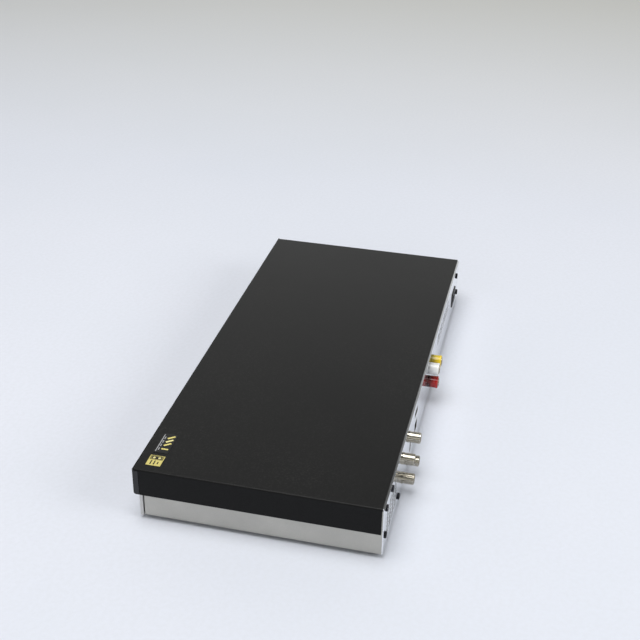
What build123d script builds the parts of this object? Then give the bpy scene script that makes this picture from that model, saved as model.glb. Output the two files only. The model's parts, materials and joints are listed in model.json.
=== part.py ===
from build123d import *
import math
import os

os.makedirs("parts", exist_ok=True)

# A slim disc recorder that stands on a table, in millimetres.
# X runs from left to right, +Y to the rear and +Z up; the front face looks along -Y.
# The origin is on the table under the middle of the whole recorder.

# Overall size
width = 430.0
body_depth = 198.7
height = 48.0
socket_reach = 10.0
foot_height = 2.5

# Sheet metal, boards and fits
sheet = 0.8
cover_bend = 1.5
chassis_bend = 3.0
gap = 0.3
seam = 0.4
running = 0.05
board_thick = 1.6
screw_radius = 1.5
screw_head_radius = 2.8
screw_head = 1.4
corner_round = 0.5

# Cover and front
cover_skirt = 24.3
cover_setback = 1.7
slab_lip = 1.0
slab_depth = 4.5
slab_wall = 2.0
slab_round = 2.0
moulding_setback = 3.75
moulding_depth = 3.1
moulding_top_gap = 0.7
shadow_gap = 1.2
frame_overlap = 1.8

# Datum places worked out from the overall size
half_width = width / 2
front_y = -(body_depth + socket_reach) / 2
rear_y = front_y + body_depth
panel_y = rear_y - sheet
cover_in_z = height - sheet
cover_in_x = half_width - sheet
lip_z = height - cover_skirt
slab_back_y = front_y + slab_depth
moulding_y = front_y + moulding_setback
moulding_back_y = moulding_y + moulding_depth
moulding_low_z = foot_height - gap
moulding_top_z = lip_z - moulding_top_gap
chassis_y = moulding_back_y + shadow_gap
frame_back_y = chassis_y + frame_overlap
wall_x = cover_in_x - gap
wall_in_x = wall_x - sheet
floor_z = foot_height + sheet

ON_BASE = (Align.CENTER, Align.CENTER, Align.MIN)

# Disc drive
drive_x = -54.0
tray_width = 130.0
guide_room = 8.0
drive_rear_room = 19.75
drive_wall = 2.0
drive_low_z = 10.0
drive_top_z = 36.5
drive_y = frame_back_y + gap
drive_back_y = panel_y - drive_rear_room
drive_depth = drive_back_y - drive_y
drive_width = tray_width + 2 * guide_room
drive_half = drive_width / 2

# Tray and its bezel
tray_low_z = 28.3
tray_floor = 1.8
tray_rim_z = 33.3
rack_spare = 10.5
disc_radius = 60.0
small_disc_radius = 40.0
disc_clearance = 0.5
disc_setback = 68.2
rail_width = 3.0
rail_height = 3.0
bezel_side = 2.0
bezel_low_z = 25.3
bezel_height = 12.4
bezel_depth = 3.0
tray_rear_gap = 1.3
turntable_slot = 38.0

bezel_width = tray_width + 2 * bezel_side
tray_y = front_y + bezel_depth
disc_y = drive_y + disc_setback
well_radius = disc_radius + disc_clearance
small_well_radius = small_disc_radius + disc_clearance
well_z = tray_low_z + tray_floor
tray_back_y = drive_back_y - drive_wall - tray_rear_gap
rail_low_z = tray_low_z - rail_height

# Loading gear train
gear_module = 1.25
gear_teeth = 16
tooth_backlash = 0.6
gear_setback = 14.2
gear_post_radius = 2.0
gear_thick = 2.4
pulley_radius = 10.0
motor_pulley_radius = 4.0
belt_thick = 1.0
belt_low_z = 21.3
belt_width = 1.8
motor_spacing = 34.0
loading_motor_radius = 7.5

gear_y = drive_y + gear_setback
tray_travel = tray_back_y - gear_y - rack_spare
pitch_radius = gear_module * gear_teeth / 2
tooth_pitch = math.pi * gear_module
tooth_high = 0.8 * gear_module
tooth_low = 1.1 * gear_module
rack_line_x = drive_x - tray_width / 2 + rail_width + tooth_low
gear_x = rack_line_x + pitch_radius
motor_x = gear_x + motor_spacing

# Traverse that carries the turntable and the pickup
traverse_half = 46.0
traverse_nose = 22.0
traverse_tail = 7.5
traverse_low_z = 20.0
traverse_thick = 3.0
pivot_setback = 4.5
pivot_radius = 1.5
rod_radius = 1.5
rod_spread = 26.0
window_half = 38.0
window_setback = 13.0
sled_travel = 35.0
sled_end_gap = 1.0
window_end_space = 1.0
sled_length = 18.0
sled_low_z = 17.0
sled_top_z = 26.0
lens_radius = 3.0
lens_height = 3.2
turntable_radius = 14.5
rotor_radius = 12.0
disc_seat_z = 31.9
hub_radius = 7.3
hub_height = 2.0
shaft_radius = 1.0
stator_radius = 11.0
lead_screw_radius = 1.2
lead_screw_x = 33.5
lead_pitch = 3.0

traverse_front_y = disc_y - traverse_nose
window_front_y = disc_y + window_setback
traverse_mid_z = traverse_low_z + traverse_thick / 2
traverse_top_z = traverse_low_z + traverse_thick
sled_y = window_front_y + sled_end_gap
window_back_y = sled_y + sled_length + sled_travel + window_end_space
traverse_pivot_y = window_back_y + pivot_setback
traverse_back_y = window_back_y + traverse_tail

# Clamper that presses the disc on the turntable
clamper_neck_radius = 11.0
clamper_flange_radius = 17.0
clamper_flange = 1.9
clamper_slack = 1.0

# Hard disk
hdd_width = 101.6
hdd_length = 147.0
hdd_height = 26.1
hdd_side_space = 7.5
hdd_front_space = 4.5
hdd_wall = 4.0
hdd_floor = 12.0
hdd_lid_thick = 1.2
platter_radius = 47.5
platter_thick = 1.27
platter_count = 2
platter_pitch = 3.2
damper_radius = 5.0
damper_height = 2.4
bracket_low_z = 10.3

hdd_x1 = wall_in_x - hdd_side_space
hdd_x0 = hdd_x1 - hdd_width
hdd_y0 = frame_back_y + hdd_front_space
hdd_y1 = hdd_y0 + hdd_length
hdd_low_z = bracket_low_z + sheet + damper_height

# Boards
board_z = 12.5
board_edge = 6.0
ear_reach = 7.0
ear_thick = 2.0
power_ear_gap = 3.1
board_ear_gap = 2.0
power_front_space = 6.5
power_rear_space = 5.55
board_front_space = 32.5

board_top_z = board_z + board_thick
power_x0 = -wall_in_x + board_edge
power_x1 = drive_x - drive_half - ear_reach - power_ear_gap
power_y0 = frame_back_y + power_front_space
power_y1 = panel_y - power_rear_space
board_x0 = drive_x + drive_half + ear_reach + board_ear_gap
board_x1 = hdd_x0 - board_edge
board_front_y = frame_back_y + board_front_space
board_back_y = panel_y - gap

# Places of the rear sockets, seen from the front
aerial_x = (half_width - 112.0, half_width - 86.5)
aerial_z = (14.1, 37.5)
aerial_stagger = 5.0
rca_yellow_x = drive_x + 29.0
rca_white_x = rca_yellow_x + 14.0
rca_top_z = 35.5
rca_low_z = 21.5
usb_from_aerial = 12.0
rear_usb_x = aerial_x[0] - usb_from_aerial
lan_x = (board_x0 + rear_usb_x) / 2 + 3.5
hdmi_x = lan_x + 1.0
usb_opening = (5.8, 13.2)
hdmi_opening = (15.2, 5.6)
lan_opening = (12.6, 9.6)
lan_stand = 3.1
hdmi_riser = 7.0
inlet_x = -half_width + 35.0
inlet_opening = (21.0, 15.0)
fan_x = half_width - 35.0
fan_z = 24.5

lan_z = board_top_z + lan_stand + lan_opening[1] / 2
hdmi_z = lan_z + lan_opening[1] / 2 + hdmi_riser + hdmi_opening[1] / 2
rear_usb_z = board_top_z + usb_opening[1] / 2
inlet_z = board_top_z + inlet_opening[1] / 2
aerial_places = (
    (aerial_x[0], aerial_z[0]),
    (aerial_x[0], aerial_z[1]),
    (aerial_x[1], aerial_z[0]),
    (aerial_x[1] + aerial_stagger, aerial_z[1]),
)
rear_screw_places = (
    (half_width - 9.0, 17.5),
    (half_width - 10.0, 42.5),
    (fan_x + 1.5, 43.0),
    (fan_x - 32.5, 9.5),
    (-half_width + 20.0, 38.5),
    (-half_width + 8.0, 13.5),
)

# Feet, badges and fan
foot_radius = 11.0
foot_inset_x = 30.0
foot_inset_front = 26.0
foot_inset_rear = 22.0
badge_thick = 0.2
fan_size = 30.0
fan_depth = 12.0
fan_bore = 14.5
fan_blades = 7

# Front controls
button_travel = 0.8
button_height = 5.0
button_length = 16.0
button_flange = 1.0
power_button_x = -half_width + 22.0
eject_button_x = 40.0
button_z = 34.5
window_x0 = 62.0
window_x1 = half_width - 19.0
window_z0 = 28.5
window_z1 = 43.0
window_thick = 1.5
flap_x0 = 32.0
flap_x1 = board_x1
flap_low_z = 9.3
flap_high_z = 20.8
flap_thick = 2.4
flap_pin_radius = 0.7
flap_pin_length = 2.0

flap_axis_y = moulding_y + flap_thick / 2
flap_axis_z = flap_low_z + flap_thick / 2
foot_x = half_width - foot_inset_x
foot_front_y = front_y + foot_inset_front
foot_rear_y = rear_y - foot_inset_rear


# Cover: one folded sheet with a top and two skirts; its top reaches forward over the front slab
with BuildPart() as top_cover:
    with BuildSketch(Plane.XZ.offset(-(rear_y - cover_setback))):
        with Locations((0, height - cover_skirt / 2)):
            Rectangle(width, cover_skirt)
        with Locations((0, cover_in_z - cover_skirt / 2)):
            Rectangle(2 * cover_in_x, cover_skirt, mode=Mode.SUBTRACT)
    extrude(amount=rear_y - cover_setback - front_y - slab_lip)
    long_edges = top_cover.edges().filter_by(Axis.Y)
    fillet(long_edges.group_by(Axis.Z)[-1], cover_bend)
    inner_bend = long_edges.filter_by(lambda e: abs(e.center().Z - cover_in_z) < sheet / 4)
    fillet(inner_bend, cover_bend - sheet)
    for side in (-1, 1):
        with Locations((side * half_width, front_y, lip_z)):
            Box(
                4 * cover_bend,
                2 * (slab_depth + seam),
                cover_skirt - cover_bend - gap,
                align=ON_BASE,
                mode=Mode.SUBTRACT,
            )
top_cover.part.label = "top_cover"
export_step(top_cover.part, "parts/top_cover.step")

# Chassis: a folded tray with bosses for the boards, the drive and the disk bracket
board_boss_radius = 3.2
screw_hole = screw_radius + running
power_screws = [
    (x, y)
    for x in (power_x0 + board_edge, power_x1 - board_edge)
    for y in (power_y0 + board_edge, power_y1 - board_edge)
]
board_screws = [
    (board_x0 + board_edge, board_front_y + board_edge),
    (board_x1 - board_edge, board_front_y + board_edge),
    (board_x0 + board_edge, board_back_y - 6 * board_edge),
    (board_x1 - board_edge, board_back_y - 6 * board_edge),
]
drive_screws = [
    (drive_x + side * (drive_half + ear_reach / 2), y)
    for side in (-1, 1)
    for y in (drive_y + 4 * board_edge, drive_back_y - 3 * board_edge)
]
bracket_screws = [
    (x, y)
    for x in (hdd_x0 - ear_reach / 2, hdd_x1 + ear_reach / 2)
    for y in (hdd_y0 + 4 * board_edge, hdd_y1 - 4 * board_edge)
]
card_board_lap = 2.0
card_board_trim = 1.0
card_board_x0 = flap_x0 - card_board_lap
card_board_x1 = flap_x1 - card_board_trim
card_screws = [
    (x, board_front_y - board_edge)
    for x in (card_board_x0 + board_edge, card_board_x1 - board_edge)
]
boss_rows = (
    (power_screws + board_screws + card_screws, board_z),
    (drive_screws, drive_low_z),
    (bracket_screws, bracket_low_z),
)
front_flange = drive_low_z - floor_z - gap
wall_top_gap = 2.0
wall_top_z = cover_in_z - wall_top_gap

with BuildPart() as chassis:
    with BuildSketch(Plane.XZ.offset(-panel_y)):
        with Locations((0, (foot_height + wall_top_z) / 2)):
            Rectangle(2 * wall_x, wall_top_z - foot_height)
        with Locations((0, floor_z + height / 2)):
            Rectangle(2 * wall_in_x, height, mode=Mode.SUBTRACT)
    extrude(amount=panel_y - chassis_y)
    long_edges = chassis.edges().filter_by(Axis.Y)
    inner_bend = long_edges.filter_by(lambda e: abs(e.center().Z - floor_z) < sheet / 4)
    fillet(inner_bend, chassis_bend - sheet)
    fillet(chassis.edges().filter_by(Axis.Y).group_by(Axis.Z)[0], chassis_bend)
    with Locations((0, frame_back_y + gap + sheet / 2, floor_z)):
        Box(2 * (wall_in_x - chassis_bend), sheet, front_flange, align=ON_BASE)
    for places, top_z in boss_rows:
        with BuildSketch(Plane.XY.offset(floor_z)):
            with Locations(*places):
                Circle(board_boss_radius)
        extrude(amount=top_z - floor_z)
        with BuildSketch(Plane.XY.offset(foot_height)):
            with Locations(*places):
                Circle(screw_hole)
        extrude(amount=top_z - foot_height, mode=Mode.SUBTRACT)
chassis.part.label = "chassis"
export_step(chassis.part, "parts/chassis.step")


# Rear panel: a flat sheet with a top flange under the cover and one hole for each socket
panel_top_z = cover_in_z - gap
panel_flange = 8.0
socket_radius = 4.75
socket_hole_gap = 0.6
socket_hole = socket_radius + socket_hole_gap
rca_radius = 5.4
port_gap = 0.2
grille_slot = (9.0, 2.2)
grille_step = (11.0, 4.0)
grille_columns = 4
grille_rows = 7
vent_rows = 3
vent_columns = 7
vent_x = drive_x - 46.0
vent_z = 34.5

with BuildPart() as rear_panel:
    with BuildSketch(Plane.XZ.offset(-rear_y)):
        with Locations((0, (foot_height + panel_top_z) / 2)):
            Rectangle(2 * wall_x, panel_top_z - foot_height)
    extrude(amount=sheet)
    fillet(rear_panel.edges().filter_by(Axis.Y).group_by(Axis.Z)[0], chassis_bend)
    with Locations((0, panel_y - panel_flange / 2, panel_top_z - sheet)):
        Box(2 * (wall_in_x - gap), panel_flange, sheet, align=ON_BASE)
    with BuildSketch(Plane.XZ.offset(-rear_y)):
        with Locations(*aerial_places):
            Circle(socket_hole)
        with Locations((rca_yellow_x, rca_top_z), (rca_white_x, rca_top_z), (rca_white_x, rca_low_z)):
            Circle(rca_radius + port_gap)
        with Locations((hdmi_x, hdmi_z)):
            Rectangle(hdmi_opening[0] + 2 * port_gap, hdmi_opening[1] + 2 * port_gap)
        with Locations((lan_x, lan_z)):
            Rectangle(lan_opening[0] + 2 * port_gap, lan_opening[1] + 2 * port_gap)
        with Locations((rear_usb_x, rear_usb_z)):
            Rectangle(usb_opening[0] + 2 * port_gap, usb_opening[1] + 2 * port_gap)
        with Locations((inlet_x, inlet_z)):
            Rectangle(inlet_opening[0] + 2 * port_gap, inlet_opening[1] + 2 * port_gap)
        with Locations((fan_x, fan_z)):
            with GridLocations(grille_step[0], grille_step[1], grille_columns, grille_rows):
                SlotOverall(*grille_slot)
        with Locations((vent_x, vent_z)):
            with GridLocations(grille_step[0], grille_step[1], vent_columns, vent_rows):
                SlotOverall(*grille_slot)
        with Locations(*rear_screw_places):
            Circle(screw_hole)
    extrude(amount=sheet, mode=Mode.SUBTRACT)
rear_panel.part.label = "rear_panel"
export_step(rear_panel.part, "parts/rear_panel.step")


# Screws in the rear panel: pan heads on the outside, each with a cross recess
screw_length = 6.0
recess_length = 2.8
recess_width = 0.7
recess_depth = 0.8

with BuildPart() as rear_screws:
    with BuildSketch(Plane.XZ.offset(-rear_y)):
        with Locations(*rear_screw_places):
            Circle(screw_head_radius)
    extrude(amount=-screw_head)
    fillet(rear_screws.faces().group_by(Axis.Y)[-1].edges(), screw_head / 2)
    with BuildSketch(Plane.XZ.offset(-rear_y)):
        with Locations(*rear_screw_places):
            Circle(screw_radius)
    extrude(amount=screw_length)
    with BuildSketch(Plane.XZ.offset(-rear_y - screw_head)):
        with Locations(*rear_screw_places):
            Rectangle(recess_length, recess_width)
            Rectangle(recess_width, recess_length)
    extrude(amount=recess_depth, mode=Mode.SUBTRACT)
rear_screws.part.label = "rear_screws"
export_step(rear_screws.part, "parts/rear_screws.step")


# Feet: four round pads under the tray
foot_places = [(side * foot_x, y) for side in (-1, 1) for y in (foot_front_y, foot_rear_y)]

with BuildPart() as feet:
    with BuildSketch():
        with Locations(*foot_places):
            Circle(foot_radius)
    extrude(amount=foot_height)
    fillet(feet.edges().group_by(Axis.Z)[0], corner_round)
feet.part.label = "feet"
export_step(feet.part, "parts/feet.step")


# Front slab: the upper fascia, hollow behind, with openings for the tray, the window and the buttons
tray_opening_x = bezel_width + 2 * seam
tray_opening_z = bezel_height + 2 * seam
bezel_mid_z = bezel_low_z + bezel_height / 2
window_mid_x = (window_x0 + window_x1) / 2
window_mid_z = (window_z0 + window_z1) / 2
window_length = window_x1 - window_x0
window_height = window_z1 - window_z0
window_ledge = 2.0
button_places = ((power_button_x, button_z), (eject_button_x, button_z))
flange_length = button_length + 2 * button_flange
flange_height = button_height + 2 * button_flange
pocket_rim = 3.0
slab_mid_z = (lip_z + height) / 2
slab_step = cover_bend + gap

with BuildPart() as front_slab:
    with BuildSketch(Plane.XZ.offset(-front_y)):
        with Locations((0, slab_mid_z)):
            Rectangle(width, cover_skirt)
    extrude(amount=-slab_depth)
    low_front = front_slab.edges().filter_by(Axis.X).group_by(Axis.Z)[0].sort_by(Axis.Y)[0]
    fillet(low_front, slab_round)
    with Locations((0, front_y + slab_lip + slab_depth, height - slab_step)):
        Box(2 * width, 2 * slab_depth, cover_skirt, align=ON_BASE, mode=Mode.SUBTRACT)
    with BuildSketch(Plane.XZ.offset(-slab_back_y)):
        with Locations((0, (lip_z + height - slab_step) / 2)):
            Rectangle(width - 2 * pocket_rim, cover_skirt - slab_step - 2 * window_ledge)
    extrude(amount=slab_depth - slab_wall, mode=Mode.SUBTRACT)
    with BuildSketch(Plane.XZ.offset(-front_y)):
        with Locations((drive_x, bezel_mid_z)):
            Rectangle(tray_opening_x, tray_opening_z)
        with Locations((window_mid_x, window_mid_z)):
            Rectangle(window_length - 2 * window_ledge, window_height - 2 * window_ledge)
        with Locations(*button_places):
            SlotOverall(button_length + 2 * gap, button_height + 2 * gap)
    extrude(amount=-slab_depth, mode=Mode.SUBTRACT)
    with BuildSketch(Plane.XZ.offset(-front_y)):
        with Locations((window_mid_x, window_mid_z)):
            RectangleRounded(window_length, window_height, corner_round)
    extrude(amount=-window_thick, mode=Mode.SUBTRACT)
front_slab.part.label = "front_slab"
export_step(front_slab.part, "parts/front_slab.step")


# Display window: a dark clear plate let into the front slab
with BuildPart() as display_window:
    with BuildSketch(Plane.XZ.offset(-front_y)):
        with Locations((window_mid_x, window_mid_z)):
            RectangleRounded(window_length, window_height, corner_round)
    extrude(amount=-window_thick)
display_window.part.label = "display_window"
export_step(display_window.part, "parts/display_window.step")


# Front frame: the plastic carrier behind both fascias, open for the tray, boards and flap
frame_low_z = floor_z + gap
frame_high_z = height - slab_step - gap
frame_half = wall_in_x - gap
flap_mid_x = (flap_x0 + flap_x1) / 2
flap_mid_z = (flap_low_z + flap_high_z) / 2
flap_length = flap_x1 - flap_x0
flap_height = flap_high_z - flap_low_z

with BuildPart() as front_frame:
    with BuildSketch(Plane.XZ.offset(-moulding_back_y)):
        with Locations((0, (frame_low_z + frame_high_z) / 2)):
            Rectangle(2 * frame_half, frame_high_z - frame_low_z)
    extrude(amount=-(frame_back_y - moulding_back_y))
    fillet(front_frame.edges().filter_by(Axis.Y).group_by(Axis.Z)[0], chassis_bend)
    with BuildSketch(Plane.XZ.offset(-slab_back_y)):
        with Locations((0, (lip_z + frame_high_z) / 2)):
            Rectangle(2 * frame_half, frame_high_z - lip_z)
    extrude(amount=-(moulding_back_y - slab_back_y))
    with BuildSketch(Plane.XZ.offset(-slab_back_y)):
        with Locations((drive_x, bezel_mid_z)):
            Rectangle(tray_opening_x, tray_opening_z)
        with Locations((window_mid_x, window_mid_z)):
            Rectangle(window_length - 2 * window_ledge, window_height - 2 * window_ledge)
        with Locations((flap_mid_x, flap_mid_z)):
            Rectangle(flap_length, flap_height)
        with Locations(*button_places):
            SlotOverall(flange_length + 2 * gap, flange_height + 2 * gap)
    extrude(amount=-(frame_back_y - slab_back_y), mode=Mode.SUBTRACT)
front_frame.part.label = "front_frame"
export_step(front_frame.part, "parts/front_frame.step")


# Lower moulding: the silver strip below the slab, with the opening for the flap and its pin bores
moulding_inset = 1.0
moulding_half = half_width - moulding_inset
moulding_round = 1.2
flap_seam = gap

with BuildPart() as lower_moulding:
    with BuildSketch(Plane.XZ.offset(-moulding_y)):
        with Locations((0, (moulding_low_z + moulding_top_z) / 2)):
            Rectangle(2 * moulding_half, moulding_top_z - moulding_low_z)
    extrude(amount=-moulding_depth)
    fillet(lower_moulding.edges().filter_by(Axis.X).group_by(Axis.Z)[0], moulding_round)
    fillet(lower_moulding.edges().filter_by(Axis.Z).group_by(Axis.Y)[0], moulding_round)
    with BuildSketch(Plane.XZ.offset(-moulding_y)):
        with Locations((flap_mid_x, flap_mid_z)):
            Rectangle(flap_length + 2 * flap_seam, flap_height + 2 * flap_seam)
    extrude(amount=-moulding_depth, mode=Mode.SUBTRACT)
    with BuildSketch(Plane.YZ.offset(flap_x0 - flap_seam - flap_pin_length)):
        with Locations((flap_axis_y, flap_axis_z)):
            Circle(flap_pin_radius + running)
    extrude(amount=flap_length + 2 * flap_seam + 2 * flap_pin_length, mode=Mode.SUBTRACT)
lower_moulding.part.label = "lower_moulding"
export_step(lower_moulding.part, "parts/lower_moulding.step")


# Front flap: drops forward on two end pins along its lower edge
flap_grip_length = 14.0
flap_grip_depth = 0.8

with BuildPart() as front_flap:
    with BuildSketch(Plane.YZ.offset(flap_x0)):
        with Locations((flap_axis_y, (flap_axis_z + flap_high_z) / 2)):
            Rectangle(flap_thick, flap_high_z - flap_axis_z)
        with Locations((flap_axis_y, flap_axis_z)):
            Circle(flap_thick / 2)
    extrude(amount=flap_length)
    with BuildSketch(Plane.YZ.offset(flap_x0 - flap_seam - flap_pin_length + gap)):
        with Locations((flap_axis_y, flap_axis_z)):
            Circle(flap_pin_radius)
    extrude(amount=flap_length + 2 * (flap_seam + flap_pin_length - gap))
    with Locations((flap_mid_x, moulding_y, flap_high_z)):
        Box(flap_grip_length, 2 * flap_grip_depth, 2 * flap_grip_depth, mode=Mode.SUBTRACT)
front_flap.part.label = "front_flap"
export_step(front_flap.part, "parts/front_flap.step")


# Buttons: a flush cap, a flange that holds it behind the slab and a stem towards its switch
stem_radius = 1.5
switch_height = 3.5
stem_tip_y = frame_back_y - switch_height - button_travel - running

for label, x in (("power_button", power_button_x), ("eject_button", eject_button_x)):
    with BuildPart() as button:
        with BuildSketch(Plane.XZ.offset(-front_y)):
            with Locations((x, button_z)):
                SlotOverall(button_length, button_height)
        extrude(amount=-(slab_wall + gap))
        with BuildSketch(Plane.XZ.offset(-(front_y + slab_wall + gap))):
            with Locations((x, button_z)):
                SlotOverall(flange_length, flange_height)
        extrude(amount=-button_flange)
        with BuildSketch(Plane.XZ.offset(-(front_y + slab_wall + gap + button_flange))):
            with Locations((x, button_z)):
                Circle(stem_radius)
        extrude(amount=-(stem_tip_y - front_y - slab_wall - gap - button_flange))
    button.part.label = label
    export_step(button.part, f"parts/{label}.step")


# Badges: two thin foil stickers on the cover beside its front right corner
badge_length = 12.0
badge_y0 = front_y + 7.95
badge_y = (badge_y0, badge_y0 + badge_length)
gold_badge_x = (half_width - 21.0, half_width - 8.0)
black_badge_x = (half_width - 51.0, half_width - 25.0)

for label, ends in (("gold_badge", gold_badge_x), ("black_badge", black_badge_x)):
    with BuildPart() as badge:
        with BuildSketch(Plane.XY.offset(height)):
            with Locations(((ends[0] + ends[1]) / 2, (badge_y[0] + badge_y[1]) / 2)):
                RectangleRounded(ends[1] - ends[0], badge_y[1] - badge_y[0], corner_round)
        extrude(amount=badge_thick)
    badge.part.label = label
    export_step(badge.part, f"parts/{label}.step")


# Disc tray: a plate with stepped wells, a slot open to the rear, two rails and a rack
rack_side_x = drive_x - tray_width / 2 + rail_width
rack_last = math.ceil(tray_travel / tooth_pitch)
pressure_angle = 20.0
tooth_slope = math.tan(math.radians(pressure_angle))
tooth_mid = tooth_pitch / 2 - tooth_backlash
tooth_root_half = tooth_mid / 2 + tooth_low * tooth_slope
tooth_tip_half = tooth_mid / 2 - tooth_high * tooth_slope
rail_front_y = drive_y + drive_wall
finger_radius = 11.0
tray_corner = 3.0
notch_angle = 45.0
notch_reach = well_radius * math.cos(math.radians(notch_angle))

with BuildPart() as disc_tray:
    with BuildSketch(Plane.XY.offset(tray_low_z)):
        with Locations((drive_x, (tray_y + tray_back_y) / 2)):
            Rectangle(tray_width, tray_back_y - tray_y)
    extrude(amount=tray_rim_z - tray_low_z)
    fillet(disc_tray.edges().filter_by(Axis.Z).group_by(Axis.Y)[-1], tray_corner)
    with BuildSketch(Plane.XY.offset(well_z)):
        with Locations((drive_x, disc_y)):
            Circle(well_radius)
        with Locations((drive_x, (disc_y + tray_back_y) / 2)):
            Rectangle(turntable_slot, tray_back_y - disc_y + tray_corner)
        with Locations(*[(drive_x + side * notch_reach, disc_y - notch_reach) for side in (-1, 1)]):
            Circle(finger_radius)
    extrude(amount=tray_rim_z - well_z, mode=Mode.SUBTRACT)
    with BuildSketch(Plane.XY.offset(well_z)):
        with Locations((drive_x, disc_y)):
            Circle(small_well_radius)
    extrude(amount=-tray_floor / 2, mode=Mode.SUBTRACT)
    with BuildSketch(Plane.XY.offset(tray_low_z)):
        with Locations((drive_x, disc_y)):
            Circle(turntable_slot / 2)
        with Locations((drive_x, (disc_y + tray_back_y + tray_corner) / 2)):
            Rectangle(turntable_slot, tray_back_y - disc_y + tray_corner)
    extrude(amount=tray_rim_z - tray_low_z, mode=Mode.SUBTRACT)
    for side in (-1, 1):
        with Locations((drive_x + side * (tray_width - rail_width) / 2, rail_front_y, rail_low_z)):
            Box(
                rail_width,
                tray_back_y - tray_corner - rail_front_y,
                rail_height,
                align=(Align.CENTER, Align.MIN, Align.MIN),
            )
    with BuildSketch(Plane.XY.offset(tray_low_z - gap - gear_thick)):
        for tooth in range(-2, rack_last + 1):
            tooth_y = gear_y + (tooth + 0.5) * tooth_pitch
            with BuildLine():
                Polyline(
                    (rack_side_x, tooth_y - tooth_root_half),
                    (rack_side_x + tooth_low + tooth_high, tooth_y - tooth_tip_half),
                    (rack_side_x + tooth_low + tooth_high, tooth_y + tooth_tip_half),
                    (rack_side_x, tooth_y + tooth_root_half),
                    close=True,
                )
            make_face()
    extrude(amount=gear_thick)
disc_tray.part.label = "disc_tray"
export_step(disc_tray.part, "parts/disc_tray.step")


# Tray bezel: the strip of fascia that travels with the tray
with BuildPart() as tray_bezel:
    with BuildSketch(Plane.XZ.offset(-front_y)):
        with Locations((drive_x, bezel_mid_z)):
            RectangleRounded(bezel_width, bezel_height, corner_round)
    extrude(amount=-bezel_depth)
tray_bezel.part.label = "tray_bezel"
export_step(tray_bezel.part, "parts/tray_bezel.step")


# Loading gear: a spur gear on the rack, one piece with its grooved belt pulley
gear_top_z = tray_low_z - gap
gear_low_z = gear_top_z - gear_thick
pulley_flange = 0.7
pulley_lip = 1.0
tooth_embed = 0.2
tooth_length = tooth_low + tooth_high + tooth_embed
root_radius = pitch_radius - tooth_low
pulley_low_z = belt_low_z - gap - pulley_flange
pulley_high_z = belt_low_z + belt_width + gap

with BuildPart() as loading_gear:
    with BuildSketch(Plane.XY.offset(gear_low_z)):
        with Locations((gear_x, gear_y)):
            Circle(root_radius)
            with PolarLocations(0, gear_teeth):
                with Locations((root_radius - tooth_embed + tooth_length / 2, 0)):
                    Trapezoid(2 * tooth_root_half, tooth_length, 90 - pressure_angle, rotation=-90)
    extrude(amount=gear_thick)
    with BuildSketch(Plane.XY.offset(pulley_low_z)):
        with Locations((gear_x, gear_y)):
            Circle(pulley_radius)
    extrude(amount=gear_low_z - pulley_low_z)
    for flange_z in (pulley_low_z, pulley_high_z):
        with BuildSketch(Plane.XY.offset(flange_z)):
            with Locations((gear_x, gear_y)):
                Circle(pulley_radius + pulley_lip)
        extrude(amount=pulley_flange)
    with BuildSketch(Plane.XY.offset(pulley_low_z)):
        with Locations((gear_x, gear_y)):
            Circle(gear_post_radius + running)
    extrude(amount=gear_top_z - pulley_low_z, mode=Mode.SUBTRACT)
loading_gear.part.label = "loading_gear"
export_step(loading_gear.part, "parts/loading_gear.step")


# Loading motor and the small pulley on its shaft
motor_base_z = drive_low_z + drive_wall
motor_high_z = pulley_low_z - gap

with BuildPart() as loading_motor:
    with BuildSketch(Plane.XY.offset(motor_base_z)):
        with Locations((motor_x, gear_y)):
            Circle(loading_motor_radius)
    extrude(amount=motor_high_z - motor_base_z)
    fillet(loading_motor.faces().sort_by(Axis.Z)[-1].edges(), corner_round)
loading_motor.part.label = "loading_motor"
export_step(loading_motor.part, "parts/loading_motor.step")

with BuildPart() as motor_pulley:
    with BuildSketch(Plane.XY.offset(pulley_low_z)):
        with Locations((motor_x, gear_y)):
            Circle(motor_pulley_radius)
    extrude(amount=pulley_high_z + pulley_flange - pulley_low_z)
    for flange_z in (pulley_low_z, pulley_high_z):
        with BuildSketch(Plane.XY.offset(flange_z)):
            with Locations((motor_x, gear_y)):
                Circle(motor_pulley_radius + pulley_lip)
        extrude(amount=pulley_flange)
motor_pulley.part.label = "motor_pulley"
export_step(motor_pulley.part, "parts/motor_pulley.step")


# Loading belt: a flat loop round both pulleys, a hair clear of each
belt_gap = 0.2

with BuildPart() as loading_belt:
    with BuildSketch(Plane.XY.offset(belt_low_z)):
        with Locations((gear_x, gear_y)):
            Circle(pulley_radius + belt_gap + belt_thick)
        with Locations((motor_x, gear_y)):
            Circle(motor_pulley_radius + belt_gap + belt_thick)
        make_hull()
        with BuildSketch(mode=Mode.SUBTRACT):
            with Locations((gear_x, gear_y)):
                Circle(pulley_radius + belt_gap)
            with Locations((motor_x, gear_y)):
                Circle(motor_pulley_radius + belt_gap)
            make_hull()
    extrude(amount=belt_width)
loading_belt.part.label = "loading_belt"
export_step(loading_belt.part, "parts/loading_belt.step")


# Drive frame: floor, side channels that guide the tray, rear wall, sill, ears and pivot bosses
inner_half = drive_half - drive_wall
tray_half = tray_width / 2
guide_half = tray_half + gap
shelf_half = tray_half - rail_width + gap
shelf_top_z = rail_low_z - gap
shelf_thick = 2.0
hold_low_z = tray_rim_z + gap
hold_thick = 1.5
hold_lap = 2.0
sill_drop = 1.0
sill_top_z = shelf_top_z - sill_drop
traverse_space = 2.0
opening_half = traverse_half + traverse_space
pivot_boss = 5.0
pivot_boss_top_z = traverse_mid_z + 2 * pivot_radius
ear_length = 12.0

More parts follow.
